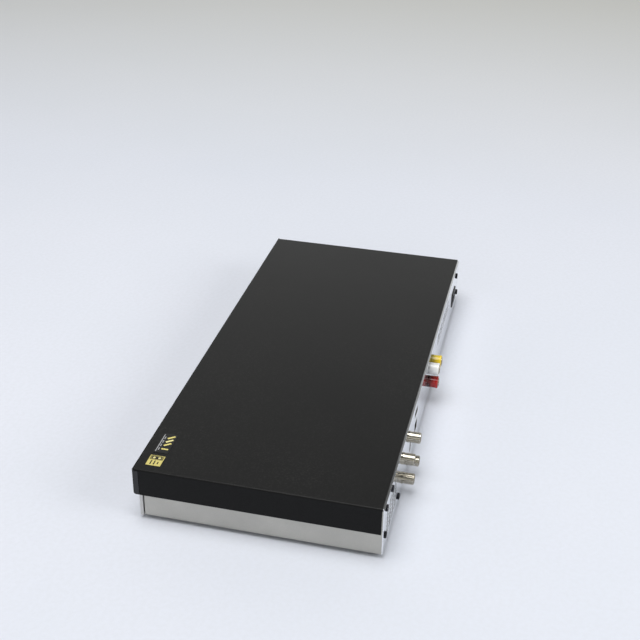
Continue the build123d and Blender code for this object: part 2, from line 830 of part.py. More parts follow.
with BuildPart() as drive_frame:
    with BuildSketch(Plane.XZ.offset(-drive_back_y)):
        for side in (-1, 1):
            sections = (
                (inner_half, drive_half, drive_low_z, drive_top_z),
                (shelf_half, inner_half, shelf_top_z - shelf_thick, shelf_top_z),
                (guide_half, inner_half, shelf_top_z, hold_low_z),
                (tray_half - hold_lap, inner_half, hold_low_z, hold_low_z + hold_thick),
            )
            for x0, x1, z0, z1 in sections:
                with Locations((drive_x + side * (x0 + x1) / 2, (z0 + z1) / 2)):
                    Rectangle(x1 - x0, z1 - z0)
    extrude(amount=drive_depth)
    with Locations((drive_x, (drive_y + drive_back_y) / 2, drive_low_z)):
        Box(drive_width, drive_depth, drive_wall, align=ON_BASE)
    with Locations((drive_x, drive_back_y - drive_wall / 2, drive_low_z)):
        Box(drive_width, drive_wall, drive_top_z - drive_low_z, align=ON_BASE)
    with Locations((drive_x, drive_y + drive_wall / 2, drive_low_z)):
        Box(drive_width, drive_wall, sill_top_z - drive_low_z, align=ON_BASE)
    with Locations((drive_x, (traverse_front_y + traverse_back_y) / 2, drive_low_z)):
        Box(
            2 * opening_half,
            traverse_back_y - traverse_front_y + 2 * traverse_space,
            drive_wall,
            align=ON_BASE,
            mode=Mode.SUBTRACT,
        )
    for side in (-1, 1):
        boss_x = drive_x + side * (traverse_half + seam + pivot_boss / 2)
        with Locations((boss_x, traverse_pivot_y, drive_low_z)):
            Box(pivot_boss, 2 * pivot_boss, pivot_boss_top_z - drive_low_z, align=ON_BASE)
    with Locations(*[(x, y, drive_low_z) for x, y in drive_screws]):
        Box(ear_reach, ear_length, ear_thick, align=ON_BASE)
    with BuildSketch(Plane.XY.offset(drive_low_z)):
        with Locations(*drive_screws):
            Circle(screw_hole)
    extrude(amount=ear_thick, mode=Mode.SUBTRACT)
    with BuildSketch(Plane.YZ.offset(drive_x - opening_half - pivot_boss)):
        with Locations((traverse_pivot_y, traverse_mid_z)):
            Circle(pivot_radius + running)
    extrude(amount=2 * (opening_half + pivot_boss), mode=Mode.SUBTRACT)
    with BuildSketch(Plane.XY.offset(motor_base_z)):
        with Locations((gear_x, gear_y)):
            Circle(gear_post_radius)
    extrude(amount=gear_top_z - motor_base_z)
    with BuildSketch(Plane.XY.offset(motor_base_z)):
        with Locations((gear_x, gear_y)):
            Circle(2 * gear_post_radius)
    extrude(amount=pulley_low_z - gap - motor_base_z)
drive_frame.part.label = "drive_frame"
export_step(drive_frame.part, "parts/drive_frame.step")


# Drive lid: a sheet over the drive with a hole and a raised yoke for the clamper
clamper_hole = clamper_neck_radius + clamper_slack
flange_low_z = drive_top_z + sheet + gap
flange_high_z = flange_low_z + clamper_flange
yoke_side_space = 3.0
yoke_half = clamper_flange_radius + yoke_side_space
yoke_depth = 8.0
yoke_high_z = flange_high_z + gap + sheet

with BuildPart() as drive_lid:
    with BuildSketch(Plane.XY.offset(drive_top_z)):
        with Locations((drive_x, (drive_y + drive_back_y) / 2)):
            Rectangle(drive_width, drive_depth)
        with Locations((drive_x, disc_y)):
            Circle(clamper_hole, mode=Mode.SUBTRACT)
    extrude(amount=sheet)
    with BuildSketch(Plane.XZ.offset(-(disc_y + yoke_depth / 2))):
        with Locations((drive_x, (drive_top_z + sheet + yoke_high_z) / 2)):
            Rectangle(2 * yoke_half, yoke_high_z - drive_top_z - sheet)
        with Locations((drive_x, (drive_top_z + yoke_high_z) / 2 - sheet / 2)):
            Rectangle(2 * (yoke_half - sheet), yoke_high_z - drive_top_z - sheet, mode=Mode.SUBTRACT)
    extrude(amount=yoke_depth)
drive_lid.part.label = "drive_lid"
export_step(drive_lid.part, "parts/drive_lid.step")


# Clamper: a puck that hangs in the lid and presses the disc on the turntable
disc_thick = 1.2
clamper_low_z = disc_seat_z + disc_thick
hub_clearance = 0.3

with BuildPart() as clamper:
    with BuildSketch(Plane.XY.offset(clamper_low_z)):
        with Locations((drive_x, disc_y)):
            Circle(clamper_neck_radius)
    extrude(amount=flange_low_z - clamper_low_z)
    with BuildSketch(Plane.XY.offset(flange_low_z)):
        with Locations((drive_x, disc_y)):
            Circle(clamper_flange_radius)
    extrude(amount=clamper_flange)
    with BuildSketch(Plane.XY.offset(clamper_low_z)):
        with Locations((drive_x, disc_y)):
            Circle(hub_radius + hub_clearance)
    extrude(amount=disc_seat_z + hub_height + hub_clearance - clamper_low_z, mode=Mode.SUBTRACT)
clamper.part.label = "clamper"
export_step(clamper.part, "parts/clamper.step")


# Traverse: the frame that tips down at its rear pins; its window holds the pickup on two rods
rod_end = 2.5
sled_motor_radius = 4.0
sled_motor_length = 10.0
motor_back_y = window_front_y - 2 * rod_end
motor_front_y = motor_back_y - sled_motor_length
screw_bore = lead_screw_radius + running
window_mid_y = (window_front_y + window_back_y) / 2
traverse_mid_y = (traverse_front_y + traverse_back_y) / 2
pin_reach = pivot_boss + seam - gap

with BuildPart() as traverse:
    with BuildSketch(Plane.XY.offset(traverse_low_z)):
        with Locations((drive_x, traverse_mid_y)):
            Rectangle(2 * traverse_half, traverse_back_y - traverse_front_y)
        with Locations((drive_x, window_mid_y)):
            Rectangle(2 * window_half, window_back_y - window_front_y, mode=Mode.SUBTRACT)
        with Locations((drive_x, disc_y)):
            Circle(shaft_radius + gap, mode=Mode.SUBTRACT)
        with Locations((drive_x + lead_screw_x, (motor_front_y + motor_back_y) / 2)):
            Rectangle(2 * (sled_motor_radius + gap), sled_motor_length, mode=Mode.SUBTRACT)
    extrude(amount=traverse_thick)
    fillet(traverse.edges().filter_by(Axis.Z).group_by(Axis.Y)[0], chassis_bend)
    with BuildSketch(Plane.YZ.offset(drive_x - traverse_half - pin_reach)):
        with Locations((traverse_pivot_y, traverse_mid_z)):
            Circle(pivot_radius)
    extrude(amount=2 * (traverse_half + pin_reach))
    with BuildSketch(Plane.XZ.offset(-(window_back_y + rod_end))):
        with Locations(*[(drive_x + side * rod_spread, traverse_mid_z) for side in (-1, 1)]):
            Circle(rod_radius + running)
    extrude(amount=window_back_y - window_front_y + 2 * rod_end, mode=Mode.SUBTRACT)
    with BuildSketch(Plane.XZ.offset(-(window_back_y + rod_end))):
        with Locations((drive_x + lead_screw_x, traverse_mid_z)):
            Circle(screw_bore)
    extrude(amount=window_back_y + rod_end - motor_back_y, mode=Mode.SUBTRACT)
traverse.part.label = "traverse"
export_step(traverse.part, "parts/traverse.step")


# Guide rods: two ground rods let into the window's edges
with BuildPart() as guide_rods:
    with BuildSketch(Plane.XZ.offset(-(window_back_y + rod_end))):
        with Locations(*[(drive_x + side * rod_spread, traverse_mid_z) for side in (-1, 1)]):
            Circle(rod_radius)
    extrude(amount=window_back_y - window_front_y + 2 * rod_end)
guide_rods.part.label = "guide_rods"
export_step(guide_rods.part, "parts/guide_rods.step")


# Pickup sled: a block on both rods with a nut arm on the lead screw, and the lens in its holder
sled_wing = 4.5
nut_wall = 1.0
arm_length = 6.0
arm_height = 5.0
holder_half = 7.0
holder_height = 2.0
lens_y = sled_y + sled_length / 2

with BuildPart() as pickup_sled:
    with Locations((drive_x, lens_y, sled_low_z)):
        Box(2 * (rod_spread + sled_wing), sled_length, sled_top_z - sled_low_z, align=ON_BASE)
    with Locations((drive_x + (rod_spread + lead_screw_x) / 2, lens_y, traverse_mid_z)):
        Box(lead_screw_x - rod_spread + 2 * (lead_screw_radius + nut_wall), arm_length, arm_height)
    chamfer(pickup_sled.faces().sort_by(Axis.Z)[-1].edges(), corner_round)
    with Locations((drive_x, lens_y, sled_top_z)):
        Box(2 * holder_half, 2 * holder_half, holder_height, align=ON_BASE)
    with BuildSketch(Plane.XZ.offset(-(sled_y + sled_length))):
        with Locations(*[(drive_x + side * rod_spread, traverse_mid_z) for side in (-1, 1)]):
            Circle(rod_radius + running)
        with Locations((drive_x + lead_screw_x, traverse_mid_z)):
            Circle(screw_bore)
    extrude(amount=sled_length, mode=Mode.SUBTRACT)
    with BuildSketch(Plane.XY.offset(sled_top_z)):
        with Locations((drive_x, lens_y)):
            Circle(lens_radius)
    extrude(amount=holder_height, mode=Mode.SUBTRACT)
pickup_sled.part.label = "pickup_sled"
export_step(pickup_sled.part, "parts/pickup_sled.step")

lens_dome = 0.8

with BuildPart() as pickup_lens:
    with BuildSketch(Plane.XY.offset(sled_top_z)):
        with Locations((drive_x, lens_y)):
            Circle(lens_radius)
    extrude(amount=lens_height)
    fillet(pickup_lens.edges().group_by(Axis.Z)[-1], lens_dome)
pickup_lens.part.label = "pickup_lens"
export_step(pickup_lens.part, "parts/pickup_lens.step")


# Lead screw beside the right rod, and the small motor that turns it
thread_depth = 0.25
groove_width = 1.0
grooves = int((window_back_y - window_front_y - 2 * lead_pitch) / lead_pitch)

with BuildPart() as lead_screw:
    with BuildSketch(Plane.XZ.offset(-(window_back_y + rod_end - gap))):
        with Locations((drive_x + lead_screw_x, traverse_mid_z)):
            Circle(lead_screw_radius)
    extrude(amount=window_back_y + rod_end - motor_back_y - 2 * gap)
    for groove in range(1, grooves + 1):
        with BuildSketch(Plane.XZ.offset(-(window_front_y + groove * lead_pitch + groove_width))):
            with Locations((drive_x + lead_screw_x, traverse_mid_z)):
                Circle(lead_screw_radius)
                Circle(lead_screw_radius - thread_depth, mode=Mode.SUBTRACT)
        extrude(amount=groove_width, mode=Mode.SUBTRACT)
lead_screw.part.label = "lead_screw"
export_step(lead_screw.part, "parts/lead_screw.step")

with BuildPart() as sled_motor:
    with BuildSketch(Plane.XZ.offset(-motor_back_y)):
        with Locations((drive_x + lead_screw_x, traverse_mid_z)):
            Circle(sled_motor_radius)
    extrude(amount=sled_motor_length)
sled_motor.part.label = "sled_motor"
export_step(sled_motor.part, "parts/sled_motor.step")


# Spindle motor under the traverse and the turntable that it turns
stator_height = 3.0
stator_base = 1.0
rotor_gap = 0.5
stator_ear = 2.0
stator_step = 1.0
rim_thick = 1.5
rim_slope = 0.5
hub_taper = 1.3

with BuildPart() as spindle_motor:
    with BuildSketch(Plane.XY.offset(traverse_low_z - stator_base)):
        with Locations((drive_x, disc_y)):
            RectangleRounded(2 * (stator_radius + stator_ear), 2 * stator_radius, 2 * corner_round)
            Circle(shaft_radius + gap, mode=Mode.SUBTRACT)
    extrude(amount=stator_base)
    with BuildSketch(Plane.XY.offset(traverse_low_z - stator_height)):
        with Locations((drive_x, disc_y)):
            Circle(stator_radius - stator_step)
    extrude(amount=stator_height - stator_base)
spindle_motor.part.label = "spindle_motor"
export_step(spindle_motor.part, "parts/spindle_motor.step")

with BuildPart() as turntable:
    with BuildSketch(Plane.XZ.offset(-disc_y)):
        with BuildLine():
            Polyline(
                (drive_x, traverse_low_z - stator_base + gap),
                (drive_x + shaft_radius, traverse_low_z - stator_base + gap),
                (drive_x + shaft_radius, traverse_top_z + rotor_gap),
                (drive_x + rotor_radius, traverse_top_z + rotor_gap),
                (drive_x + rotor_radius, disc_seat_z - rim_thick - rim_slope),
                (drive_x + turntable_radius, disc_seat_z - rim_thick),
                (drive_x + turntable_radius, disc_seat_z),
                (drive_x + hub_radius, disc_seat_z),
                (drive_x + hub_radius - hub_taper, disc_seat_z + hub_height),
                (drive_x, disc_seat_z + hub_height),
                close=True,
            )
        make_face()
    revolve(axis=Axis((drive_x, disc_y, 0), (0, 0, 1)))
turntable.part.label = "turntable"
export_step(turntable.part, "parts/turntable.step")


# Hard disk: cast base with a round cavity, lid, platters on their hub, arm and circuit board
cavity_y = hdd_y0 + platter_radius + hdd_wall
hdd_x = (hdd_x0 + hdd_x1) / 2
hdd_high_z = hdd_low_z + hdd_height
hdd_base_high_z = hdd_high_z - hdd_lid_thick
cavity_z = hdd_low_z + hdd_floor
platter_lift = 2.0
platter_z = cavity_z + platter_lift
platter_clearance = 1.0
hub_of_platters = 12.5
hdd_board_length = 90.0
hdd_board_inset = 18.0
hdd_board_recess = 1.0
disk_screw_bite = 4.0
arm_pivot_inset = (20.0, 26.0)
arm_pivot = (hdd_x0 + arm_pivot_inset[0], hdd_y1 - arm_pivot_inset[1])
arm_pivot_radius = 6.0
arm_thick = 1.2
arm_tip_gap = 4.0
arm_bay_front_y = cavity_y + platter_radius / 2
arm_bay_back_y = hdd_y1 - hdd_wall
arm_lift = 0.6
arm_tip_radius = 1.5

damper_places = [
    (x, y)
    for x in (hdd_x0 + 2 * damper_radius, hdd_x1 - 2 * damper_radius)
    for y in (hdd_y0 + 2 * damper_radius, hdd_y1 - 2 * damper_radius)
]

with BuildPart() as hdd_base:
    with BuildSketch(Plane.XY.offset(hdd_low_z)):
        with Locations((hdd_x, (hdd_y0 + hdd_y1) / 2)):
            RectangleRounded(hdd_width, hdd_length, chassis_bend)
    extrude(amount=hdd_base_high_z - hdd_low_z)
    with BuildSketch(Plane.XY.offset(cavity_z)):
        with Locations((hdd_x, cavity_y)):
            Circle(platter_radius + platter_clearance)
        with Locations((hdd_x, (arm_bay_front_y + arm_bay_back_y) / 2)):
            Rectangle(hdd_width - 4 * hdd_wall, arm_bay_back_y - arm_bay_front_y)
    extrude(amount=hdd_base_high_z - cavity_z, mode=Mode.SUBTRACT)
    with BuildSketch(Plane.XY.offset(hdd_low_z)):
        with Locations((hdd_x, hdd_y1 - hdd_wall - hdd_board_length / 2)):
            Rectangle(hdd_width - 2 * hdd_board_inset, hdd_board_length)
    extrude(amount=board_thick + hdd_board_recess, mode=Mode.SUBTRACT)
    with BuildSketch(Plane.XY.offset(hdd_low_z)):
        with Locations(*damper_places):
            Circle(screw_hole)
    extrude(amount=disk_screw_bite + gap, mode=Mode.SUBTRACT)
hdd_base.part.label = "hdd_base"
export_step(hdd_base.part, "parts/hdd_base.step")

with BuildPart() as hdd_lid:
    with BuildSketch(Plane.XY.offset(hdd_base_high_z)):
        with Locations((hdd_x, (hdd_y0 + hdd_y1) / 2)):
            RectangleRounded(hdd_width, hdd_length, chassis_bend)
    extrude(amount=hdd_lid_thick)
hdd_lid.part.label = "hdd_lid"
export_step(hdd_lid.part, "parts/hdd_lid.step")

with BuildPart() as hdd_board:
    with BuildSketch(Plane.XY.offset(hdd_low_z + hdd_board_recess)):
        with Locations((hdd_x, hdd_y1 - hdd_wall - hdd_board_length / 2)):
            Rectangle(hdd_width - 2 * hdd_board_inset - 2 * gap, hdd_board_length - 2 * gap)
    extrude(amount=board_thick)
hdd_board.part.label = "hdd_board"
export_step(hdd_board.part, "parts/hdd_board.step")

with BuildPart() as hdd_platters:
    with BuildSketch(Plane.XY.offset(cavity_z + gap)):
        with Locations((hdd_x, cavity_y)):
            Circle(hub_of_platters)
    extrude(amount=hdd_base_high_z - cavity_z - 2 * gap)
    for level in range(platter_count):
        with BuildSketch(Plane.XY.offset(platter_z + level * platter_pitch)):
            with Locations((hdd_x, cavity_y)):
                Circle(platter_radius)
        extrude(amount=platter_thick)
hdd_platters.part.label = "hdd_platters"
export_step(hdd_platters.part, "parts/hdd_platters.step")

arm_z = platter_z + (platter_count - 1) * platter_pitch + platter_thick + arm_lift
arm_tip = (hdd_x - hub_of_platters - arm_tip_gap, cavity_y + hub_of_platters + arm_tip_gap)

with BuildPart() as hdd_arm:
    with BuildSketch(Plane.XY.offset(cavity_z + gap)):
        with Locations(arm_pivot):
            Circle(arm_pivot_radius)
    extrude(amount=hdd_base_high_z - cavity_z - 2 * gap)
    with BuildSketch(Plane.XY.offset(arm_z)):
        with Locations(arm_pivot):
            Circle(arm_pivot_radius)
        with Locations(arm_tip):
            Circle(arm_tip_radius)
        make_hull()
    extrude(amount=arm_thick)
hdd_arm.part.label = "hdd_arm"
export_step(hdd_arm.part, "parts/hdd_arm.step")


# Bracket that carries the hard disk on four rubber dampers
bracket_rim = (20.0, 30.0)

with BuildPart() as hdd_bracket:
    with BuildSketch(Plane.XY.offset(bracket_low_z)):
        with Locations((hdd_x, (hdd_y0 + hdd_y1) / 2)):
            RectangleRounded(hdd_width + 2 * ear_reach, hdd_length - 2 * board_edge, chassis_bend)
        with Locations((hdd_x, (hdd_y0 + hdd_y1) / 2)):
            RectangleRounded(
                hdd_width - 2 * bracket_rim[0],
                hdd_length - 2 * bracket_rim[1],
                2 * chassis_bend,
                mode=Mode.SUBTRACT,
            )
        with Locations(*(bracket_screws + damper_places)):
            Circle(screw_hole, mode=Mode.SUBTRACT)
    extrude(amount=sheet)
hdd_bracket.part.label = "hdd_bracket"
export_step(hdd_bracket.part, "parts/hdd_bracket.step")

with BuildPart() as hdd_dampers:
    with BuildSketch(Plane.XY.offset(bracket_low_z + sheet)):
        with Locations(*damper_places):
            Circle(damper_radius)
            Circle(screw_hole, mode=Mode.SUBTRACT)
    extrude(amount=damper_height)
hdd_dampers.part.label = "hdd_dampers"
export_step(hdd_dampers.part, "parts/hdd_dampers.step")


# Main board: between the drive and the disk, with a strip behind the drive, notched for the tuner
tuner_margin = 8.0
tuner_front_gap = 5.55
tuner_high_z = 44.5
tuner_x0 = aerial_x[0] - tuner_margin
tuner_x1 = aerial_x[1] + aerial_stagger + tuner_margin
tuner_y0 = hdd_y1 + tuner_front_gap
tuner_width = tuner_x1 - tuner_x0
tuner_depth = panel_y - tuner_y0
strip_margin = 9.0
strip_gap = 2.0
strip_x0 = rca_yellow_x - strip_margin
strip_y0 = drive_back_y + strip_gap

with BuildPart() as main_board:
    with BuildSketch(Plane.XY.offset(board_z)):
        with Locations(((board_x0 + board_x1) / 2, (board_front_y + board_back_y) / 2)):
            Rectangle(board_x1 - board_x0, board_back_y - board_front_y)
        with Locations(((strip_x0 + board_x0) / 2, (strip_y0 + board_back_y) / 2)):
            Rectangle(board_x0 - strip_x0, board_back_y - strip_y0)
        with Locations((tuner_x0 - gap + tuner_width / 2, tuner_y0 + tuner_depth / 2)):
            Rectangle(tuner_width, tuner_depth + 2 * gap, mode=Mode.SUBTRACT)
        with Locations(*board_screws):
            Circle(screw_hole, mode=Mode.SUBTRACT)
    extrude(amount=board_thick)
main_board.part.label = "main_board"
export_step(main_board.part, "parts/main_board.step")


# Chips on the main board: processor, memories, power stage and small packages
board_mid_y = (board_front_y + board_back_y) / 2
processor_offset = (24.0, -5.6)
processor = (board_x0 + processor_offset[0], board_mid_y + processor_offset[1])
processor_size = 27.0
chip_high = 2.0
chip_offsets = (
    (10.0, 17.4, 14.0, 9.0),
    (28.0, 17.4, 14.0, 9.0),
    (14.0, -49.6, 12.0, 12.0),
    (38.0, -35.6, 7.0, 10.0),
)

with BuildPart() as main_chips:
    with BuildSketch(Plane.XY.offset(board_top_z)):
        with Locations(processor):
            Rectangle(processor_size, processor_size)
        for along, across, length, depth in chip_offsets:
            with Locations((board_x0 + along, board_mid_y + across)):
                Rectangle(length, depth)
    extrude(amount=chip_high)
main_chips.part.label = "main_chips"
export_step(main_chips.part, "parts/main_chips.step")


# Heat sink: a finned block on the processor
sink_size = 34.0
sink_base = 2.5
sink_height = 14.0
fin_count = 8
fin_thick = 1.2

with BuildPart() as heat_sink:
    with BuildSketch(Plane.XY.offset(board_top_z + chip_high)):
        with Locations(processor):
            Rectangle(sink_size, sink_size)
    extrude(amount=sink_base)
    with BuildSketch(Plane.XY.offset(board_top_z + chip_high + sink_base)):
        with Locations(processor):
            with GridLocations((sink_size - fin_thick) / (fin_count - 1), 0, fin_count, 1):
                Rectangle(fin_thick, sink_size)
    extrude(amount=sink_height - sink_base)
heat_sink.part.label = "heat_sink"
export_step(heat_sink.part, "parts/heat_sink.step")


# Tuner can: a shielded box that stands on the chassis and carries the four aerial sockets
with BuildPart() as tuner_can:
    with Locations(((tuner_x0 + tuner_x1) / 2, (tuner_y0 + panel_y) / 2, floor_z)):
        Box(tuner_width, tuner_depth, tuner_high_z - floor_z, align=ON_BASE)
    fillet(tuner_can.edges().filter_by(Axis.Z), corner_round)
tuner_can.part.label = "tuner_can"
export_step(tuner_can.part, "parts/tuner_can.step")


# Aerial sockets: threaded barrels through the rear panel, each with a centre bore
thread_pitch = 0.9
thread_high = 0.35
socket_bore = 3.6
bore_depth = 5.0
contact_radius = 0.6
socket_shoulder = 1.6
socket_tip_y = rear_y + socket_reach
thread_turns = int((socket_reach - socket_shoulder - thread_pitch) / thread_pitch)

with BuildPart() as aerial_sockets:
    with BuildSketch(Plane.XZ.offset(-socket_tip_y)):
        with Locations(*aerial_places):
            Circle(socket_radius - thread_high)
    extrude(amount=socket_tip_y - panel_y)
    with BuildSketch(Plane.XZ.offset(-(rear_y + socket_shoulder))):
        with Locations(*aerial_places):
            Circle(socket_radius)
    extrude(amount=socket_shoulder + sheet)
    for turn in range(1, thread_turns + 1):
        with BuildSketch(Plane.XZ.offset(-(socket_tip_y - turn * thread_pitch + thread_pitch / 4))):
            with Locations(*aerial_places):
                Circle(socket_radius)
        extrude(amount=thread_pitch / 2)
    with BuildSketch(Plane.XZ.offset(-socket_tip_y)):
        with Locations(*aerial_places):
            Circle(socket_bore)
            Circle(contact_radius, mode=Mode.SUBTRACT)
    extrude(amount=bore_depth, mode=Mode.SUBTRACT)
aerial_sockets.part.label = "aerial_sockets"
export_step(aerial_sockets.part, "parts/aerial_sockets.step")


# Audio and video sockets: one moulded block inside and a coloured collar for each socket
rca_reach = 8.8
rca_block_depth = 12.0
rca_bore = 1.7
rca_margin = 2.5
rca_block_low_z = board_top_z
rca_block_high_z = rca_top_z + rca_radius + rca_margin

with BuildPart() as rca_block:
    with Locations((
        (rca_yellow_x + rca_white_x) / 2,
        panel_y - rca_block_depth / 2,
        rca_block_low_z,
    )):
        Box(
            rca_white_x - rca_yellow_x + 2 * (rca_radius + rca_margin),
            rca_block_depth,
            rca_block_high_z - rca_block_low_z,
            align=ON_BASE,
        )
rca_block.part.label = "rca_block"
export_step(rca_block.part, "parts/rca_block.step")

collars = (
    ("rca_yellow", rca_yellow_x, rca_top_z),
    ("rca_white", rca_white_x, rca_top_z),
    ("rca_red", rca_white_x, rca_low_z),
)

for label, x, z in collars:
    with BuildPart() as collar:
        with BuildSketch(Plane.XZ.offset(-(rear_y + rca_reach))):
            with Locations((x, z)):
                Circle(rca_radius)
        extrude(amount=rca_reach + sheet)
        fillet(collar.faces().sort_by(Axis.Y)[-1].edges(), corner_round)
        with BuildSketch(Plane.XZ.offset(-(rear_y + rca_reach))):
            with Locations((x, z)):
                Circle(rca_bore)
        extrude(amount=rca_reach, mode=Mode.SUBTRACT)
    collar.part.label = label
    export_step(collar.part, f"parts/{label}.step")


# Metal shells of the sockets: picture, network and memory at the rear, card and memory behind the flap
shell_wall = 0.4
port_depth = 14.0
tongue_thick = 1.2
tongue_setback = 2.0
tongue_length = port_depth - tongue_setback
hdmi_tongue_side = 2.0
usb_tongue_side = 1.5
rear_port_places = (
    (hdmi_x, hdmi_z, hdmi_opening),
    (lan_x, lan_z, lan_opening),
    (rear_usb_x, rear_usb_z, usb_opening),
)

card_opening = (27.0, 3.4)
port_side = 2.0
front_usb_x = flap_x1 - port_side - usb_opening[1] / 2
card_slot_x = card_board_x0 + board_edge + screw_head_radius + 2 * gap + card_opening[0] / 2
card_depth = 27.0
front_port_y = moulding_back_y + gap
front_port_places = (
    (front_usb_x, (usb_opening[1], usb_opening[0]), port_depth),
    (card_slot_x, card_opening, card_depth),
)

with BuildPart() as port_shells:
    for x, z, opening in rear_port_places:
        with BuildSketch(Plane.XZ.offset(-(rear_y - running))):
            with Locations((x, z)):
                Rectangle(*opening)
                Rectangle(opening[0] - 2 * shell_wall, opening[1] - 2 * shell_wall, mode=Mode.SUBTRACT)
        extrude(amount=port_depth)
        with BuildSketch(Plane.XZ.offset(-(rear_y - port_depth))):
            with Locations((x, z)):
                Rectangle(*opening)
        extrude(amount=shell_wall)
    with Locations((hdmi_x, rear_y - tongue_setback - tongue_length / 2, hdmi_z)):
        Box(hdmi_opening[0] - 2 * hdmi_tongue_side, tongue_length, tongue_thick)
    with Locations((rear_usb_x, rear_y - tongue_setback - tongue_length / 2, rear_usb_z)):
        Box(tongue_thick, tongue_length, usb_opening[1] - 2 * usb_tongue_side)
    for x, opening, depth in front_port_places:
        with BuildSketch(Plane.XZ.offset(-front_port_y)):
            with Locations((x, board_top_z + opening[1] / 2)):
                Rectangle(*opening)
                Rectangle(opening[0] - 2 * shell_wall, opening[1] - 2 * shell_wall, mode=Mode.SUBTRACT)
        extrude(amount=-depth)
        with Locations((x, front_port_y + depth, board_top_z)):
            Box(opening[0], shell_wall, opening[1], align=ON_BASE)
    tongue_y = front_port_y + tongue_setback + tongue_length / 2
    with Locations((front_usb_x, tongue_y, board_top_z + usb_opening[0] / 2)):
        Box(usb_opening[1] - 2 * usb_tongue_side, tongue_length, tongue_thick)
port_shells.part.label = "port_shells"
export_step(port_shells.part, "parts/port_shells.step")


# Power board with its transformer, choke and tall capacitors
transformer_offset = (24.0, 48.0)
transformer_place = (power_x0 + transformer_offset[0], power_y0 + transformer_offset[1])
transformer_size = (34.0, 36.0, 24.0)
choke_offset = (22.0, 36.0)
choke_place = (power_x0 + choke_offset[0], power_y1 - choke_offset[1])
choke_size = (22.0, 20.0, 18.0)
bobbin_margin = 5.0

with BuildPart() as power_board:
    with BuildSketch(Plane.XY.offset(board_z)):
        with Locations(((power_x0 + power_x1) / 2, (power_y0 + power_y1) / 2)):
            Rectangle(power_x1 - power_x0, power_y1 - power_y0)
        with Locations(*power_screws):
            Circle(screw_hole, mode=Mode.SUBTRACT)
    extrude(amount=board_thick)
power_board.part.label = "power_board"
export_step(power_board.part, "parts/power_board.step")

with BuildPart() as transformer:
    for place, size in ((transformer_place, transformer_size), (choke_place, choke_size)):
        with Locations((*place, board_top_z)):
            Box(size[0], size[1] - 2 * bobbin_margin, size[2], align=ON_BASE)
        with Locations((*place, board_top_z)):
            Box(size[0] - 2 * bobbin_margin, size[1], size[2] - bobbin_margin, align=ON_BASE)
transformer.part.label = "transformer"
export_step(transformer.part, "parts/transformer.step")

power_capacitors = (
    (15.0, 79.0, 9.0, 28.0),
    (36.0, 79.0, 9.0, 28.0),
    (12.0, 98.0, 5.0, 20.0),
    (25.0, 98.0, 5.0, 20.0),
    (38.0, 98.0, 5.0, 20.0),
    (20.0, 18.0, 6.3, 16.0),
    (38.0, 18.0, 6.3, 16.0),
)
main_capacitors = (
    (10.0, -29.6, 4.0, 9.0),
    (26.0, -31.6, 4.0, 9.0),
    (26.0, -47.6, 4.0, 9.0),
    (30.0, 30.4, 3.2, 7.0),
)
capacitor_groups = (
    (power_x0, power_y0, power_capacitors),
    (board_x0, board_mid_y, main_capacitors),
)

with BuildPart() as board_capacitors:
    for corner_x, corner_y, group in capacitor_groups:
        for along, across, radius, tall in group:
            with Locations((corner_x + along, corner_y + across, board_top_z)):
                Cylinder(radius, tall, align=ON_BASE)
    fillet(board_capacitors.faces().filter_by(Plane.XY).filter_by(
        lambda f: f.center().Z > board_top_z + gap
    ).edges(), corner_round)
board_capacitors.part.label = "board_capacitors"
export_step(board_capacitors.part, "parts/board_capacitors.step")


# Mains inlet: a moulded block on the power board with a recess of two round lobes and two pins
inlet_depth = 20.0
inlet_recess = 12.0
lobe_radius = 3.9
lobe_waist = 6.6
pin_spread = 8.6
pin_radius = 1.2
inlet_proud = 0.8

with BuildPart() as ac_inlet:
    with BuildSketch(Plane.XZ.offset(-(rear_y + inlet_proud))):
        with Locations((inlet_x, inlet_z)):
            RectangleRounded(*inlet_opening, corner_round)
    extrude(amount=inlet_depth)
    with BuildSketch(Plane.XZ.offset(-(rear_y + inlet_proud))):
        with Locations(*[(inlet_x + side * pin_spread / 2, inlet_z) for side in (-1, 1)]):
            Circle(lobe_radius)
        with Locations((inlet_x, inlet_z)):
            Rectangle(pin_spread, lobe_waist)
        with Locations(*[(inlet_x + side * pin_spread / 2, inlet_z) for side in (-1, 1)]):
            Circle(pin_radius, mode=Mode.SUBTRACT)
    extrude(amount=inlet_recess, mode=Mode.SUBTRACT)
ac_inlet.part.label = "ac_inlet"
export_step(ac_inlet.part, "parts/ac_inlet.step")


# Fan: a square frame on the rear panel and a bladed rotor on its hub
fan_wall = 1.5
fan_hub_radius = 7.0
fan_y1 = panel_y
fan_y0 = fan_y1 - fan_depth
strut_count = 3
strut_width = 2.5
strut_depth = 2.0
blade_thick = 1.2
blade_tilt = 38.0
blade_gap = 0.6
hub_seat = 5.0
blade_root = 1.0
blade_chord = 7.8
fan_face_gap = 1.0

with BuildPart() as fan_frame:
    with BuildSketch(Plane.XZ.offset(-fan_y1)):
        with Locations((fan_x, fan_z)):
            RectangleRounded(fan_size, fan_size, chassis_bend)
            Circle(fan_bore - fan_wall / 2, mode=Mode.SUBTRACT)
    extrude(amount=fan_depth)
    with BuildSketch(Plane.XZ.offset(-(fan_y0 + strut_depth))):
        with Locations((fan_x, fan_z)):
            Circle(hub_seat)
            with PolarLocations(0, strut_count, start_angle=90):
                with Locations((fan_bore / 2, 0)):
                    Rectangle(fan_bore, strut_width)
    extrude(amount=strut_depth)
fan_frame.part.label = "fan_frame"
export_step(fan_frame.part, "parts/fan_frame.step")

rotor_y0 = fan_y0 + strut_depth + gap
rotor_y1 = fan_y1 - fan_face_gap
blade_high = fan_bore - fan_wall / 2 - blade_gap - fan_hub_radius

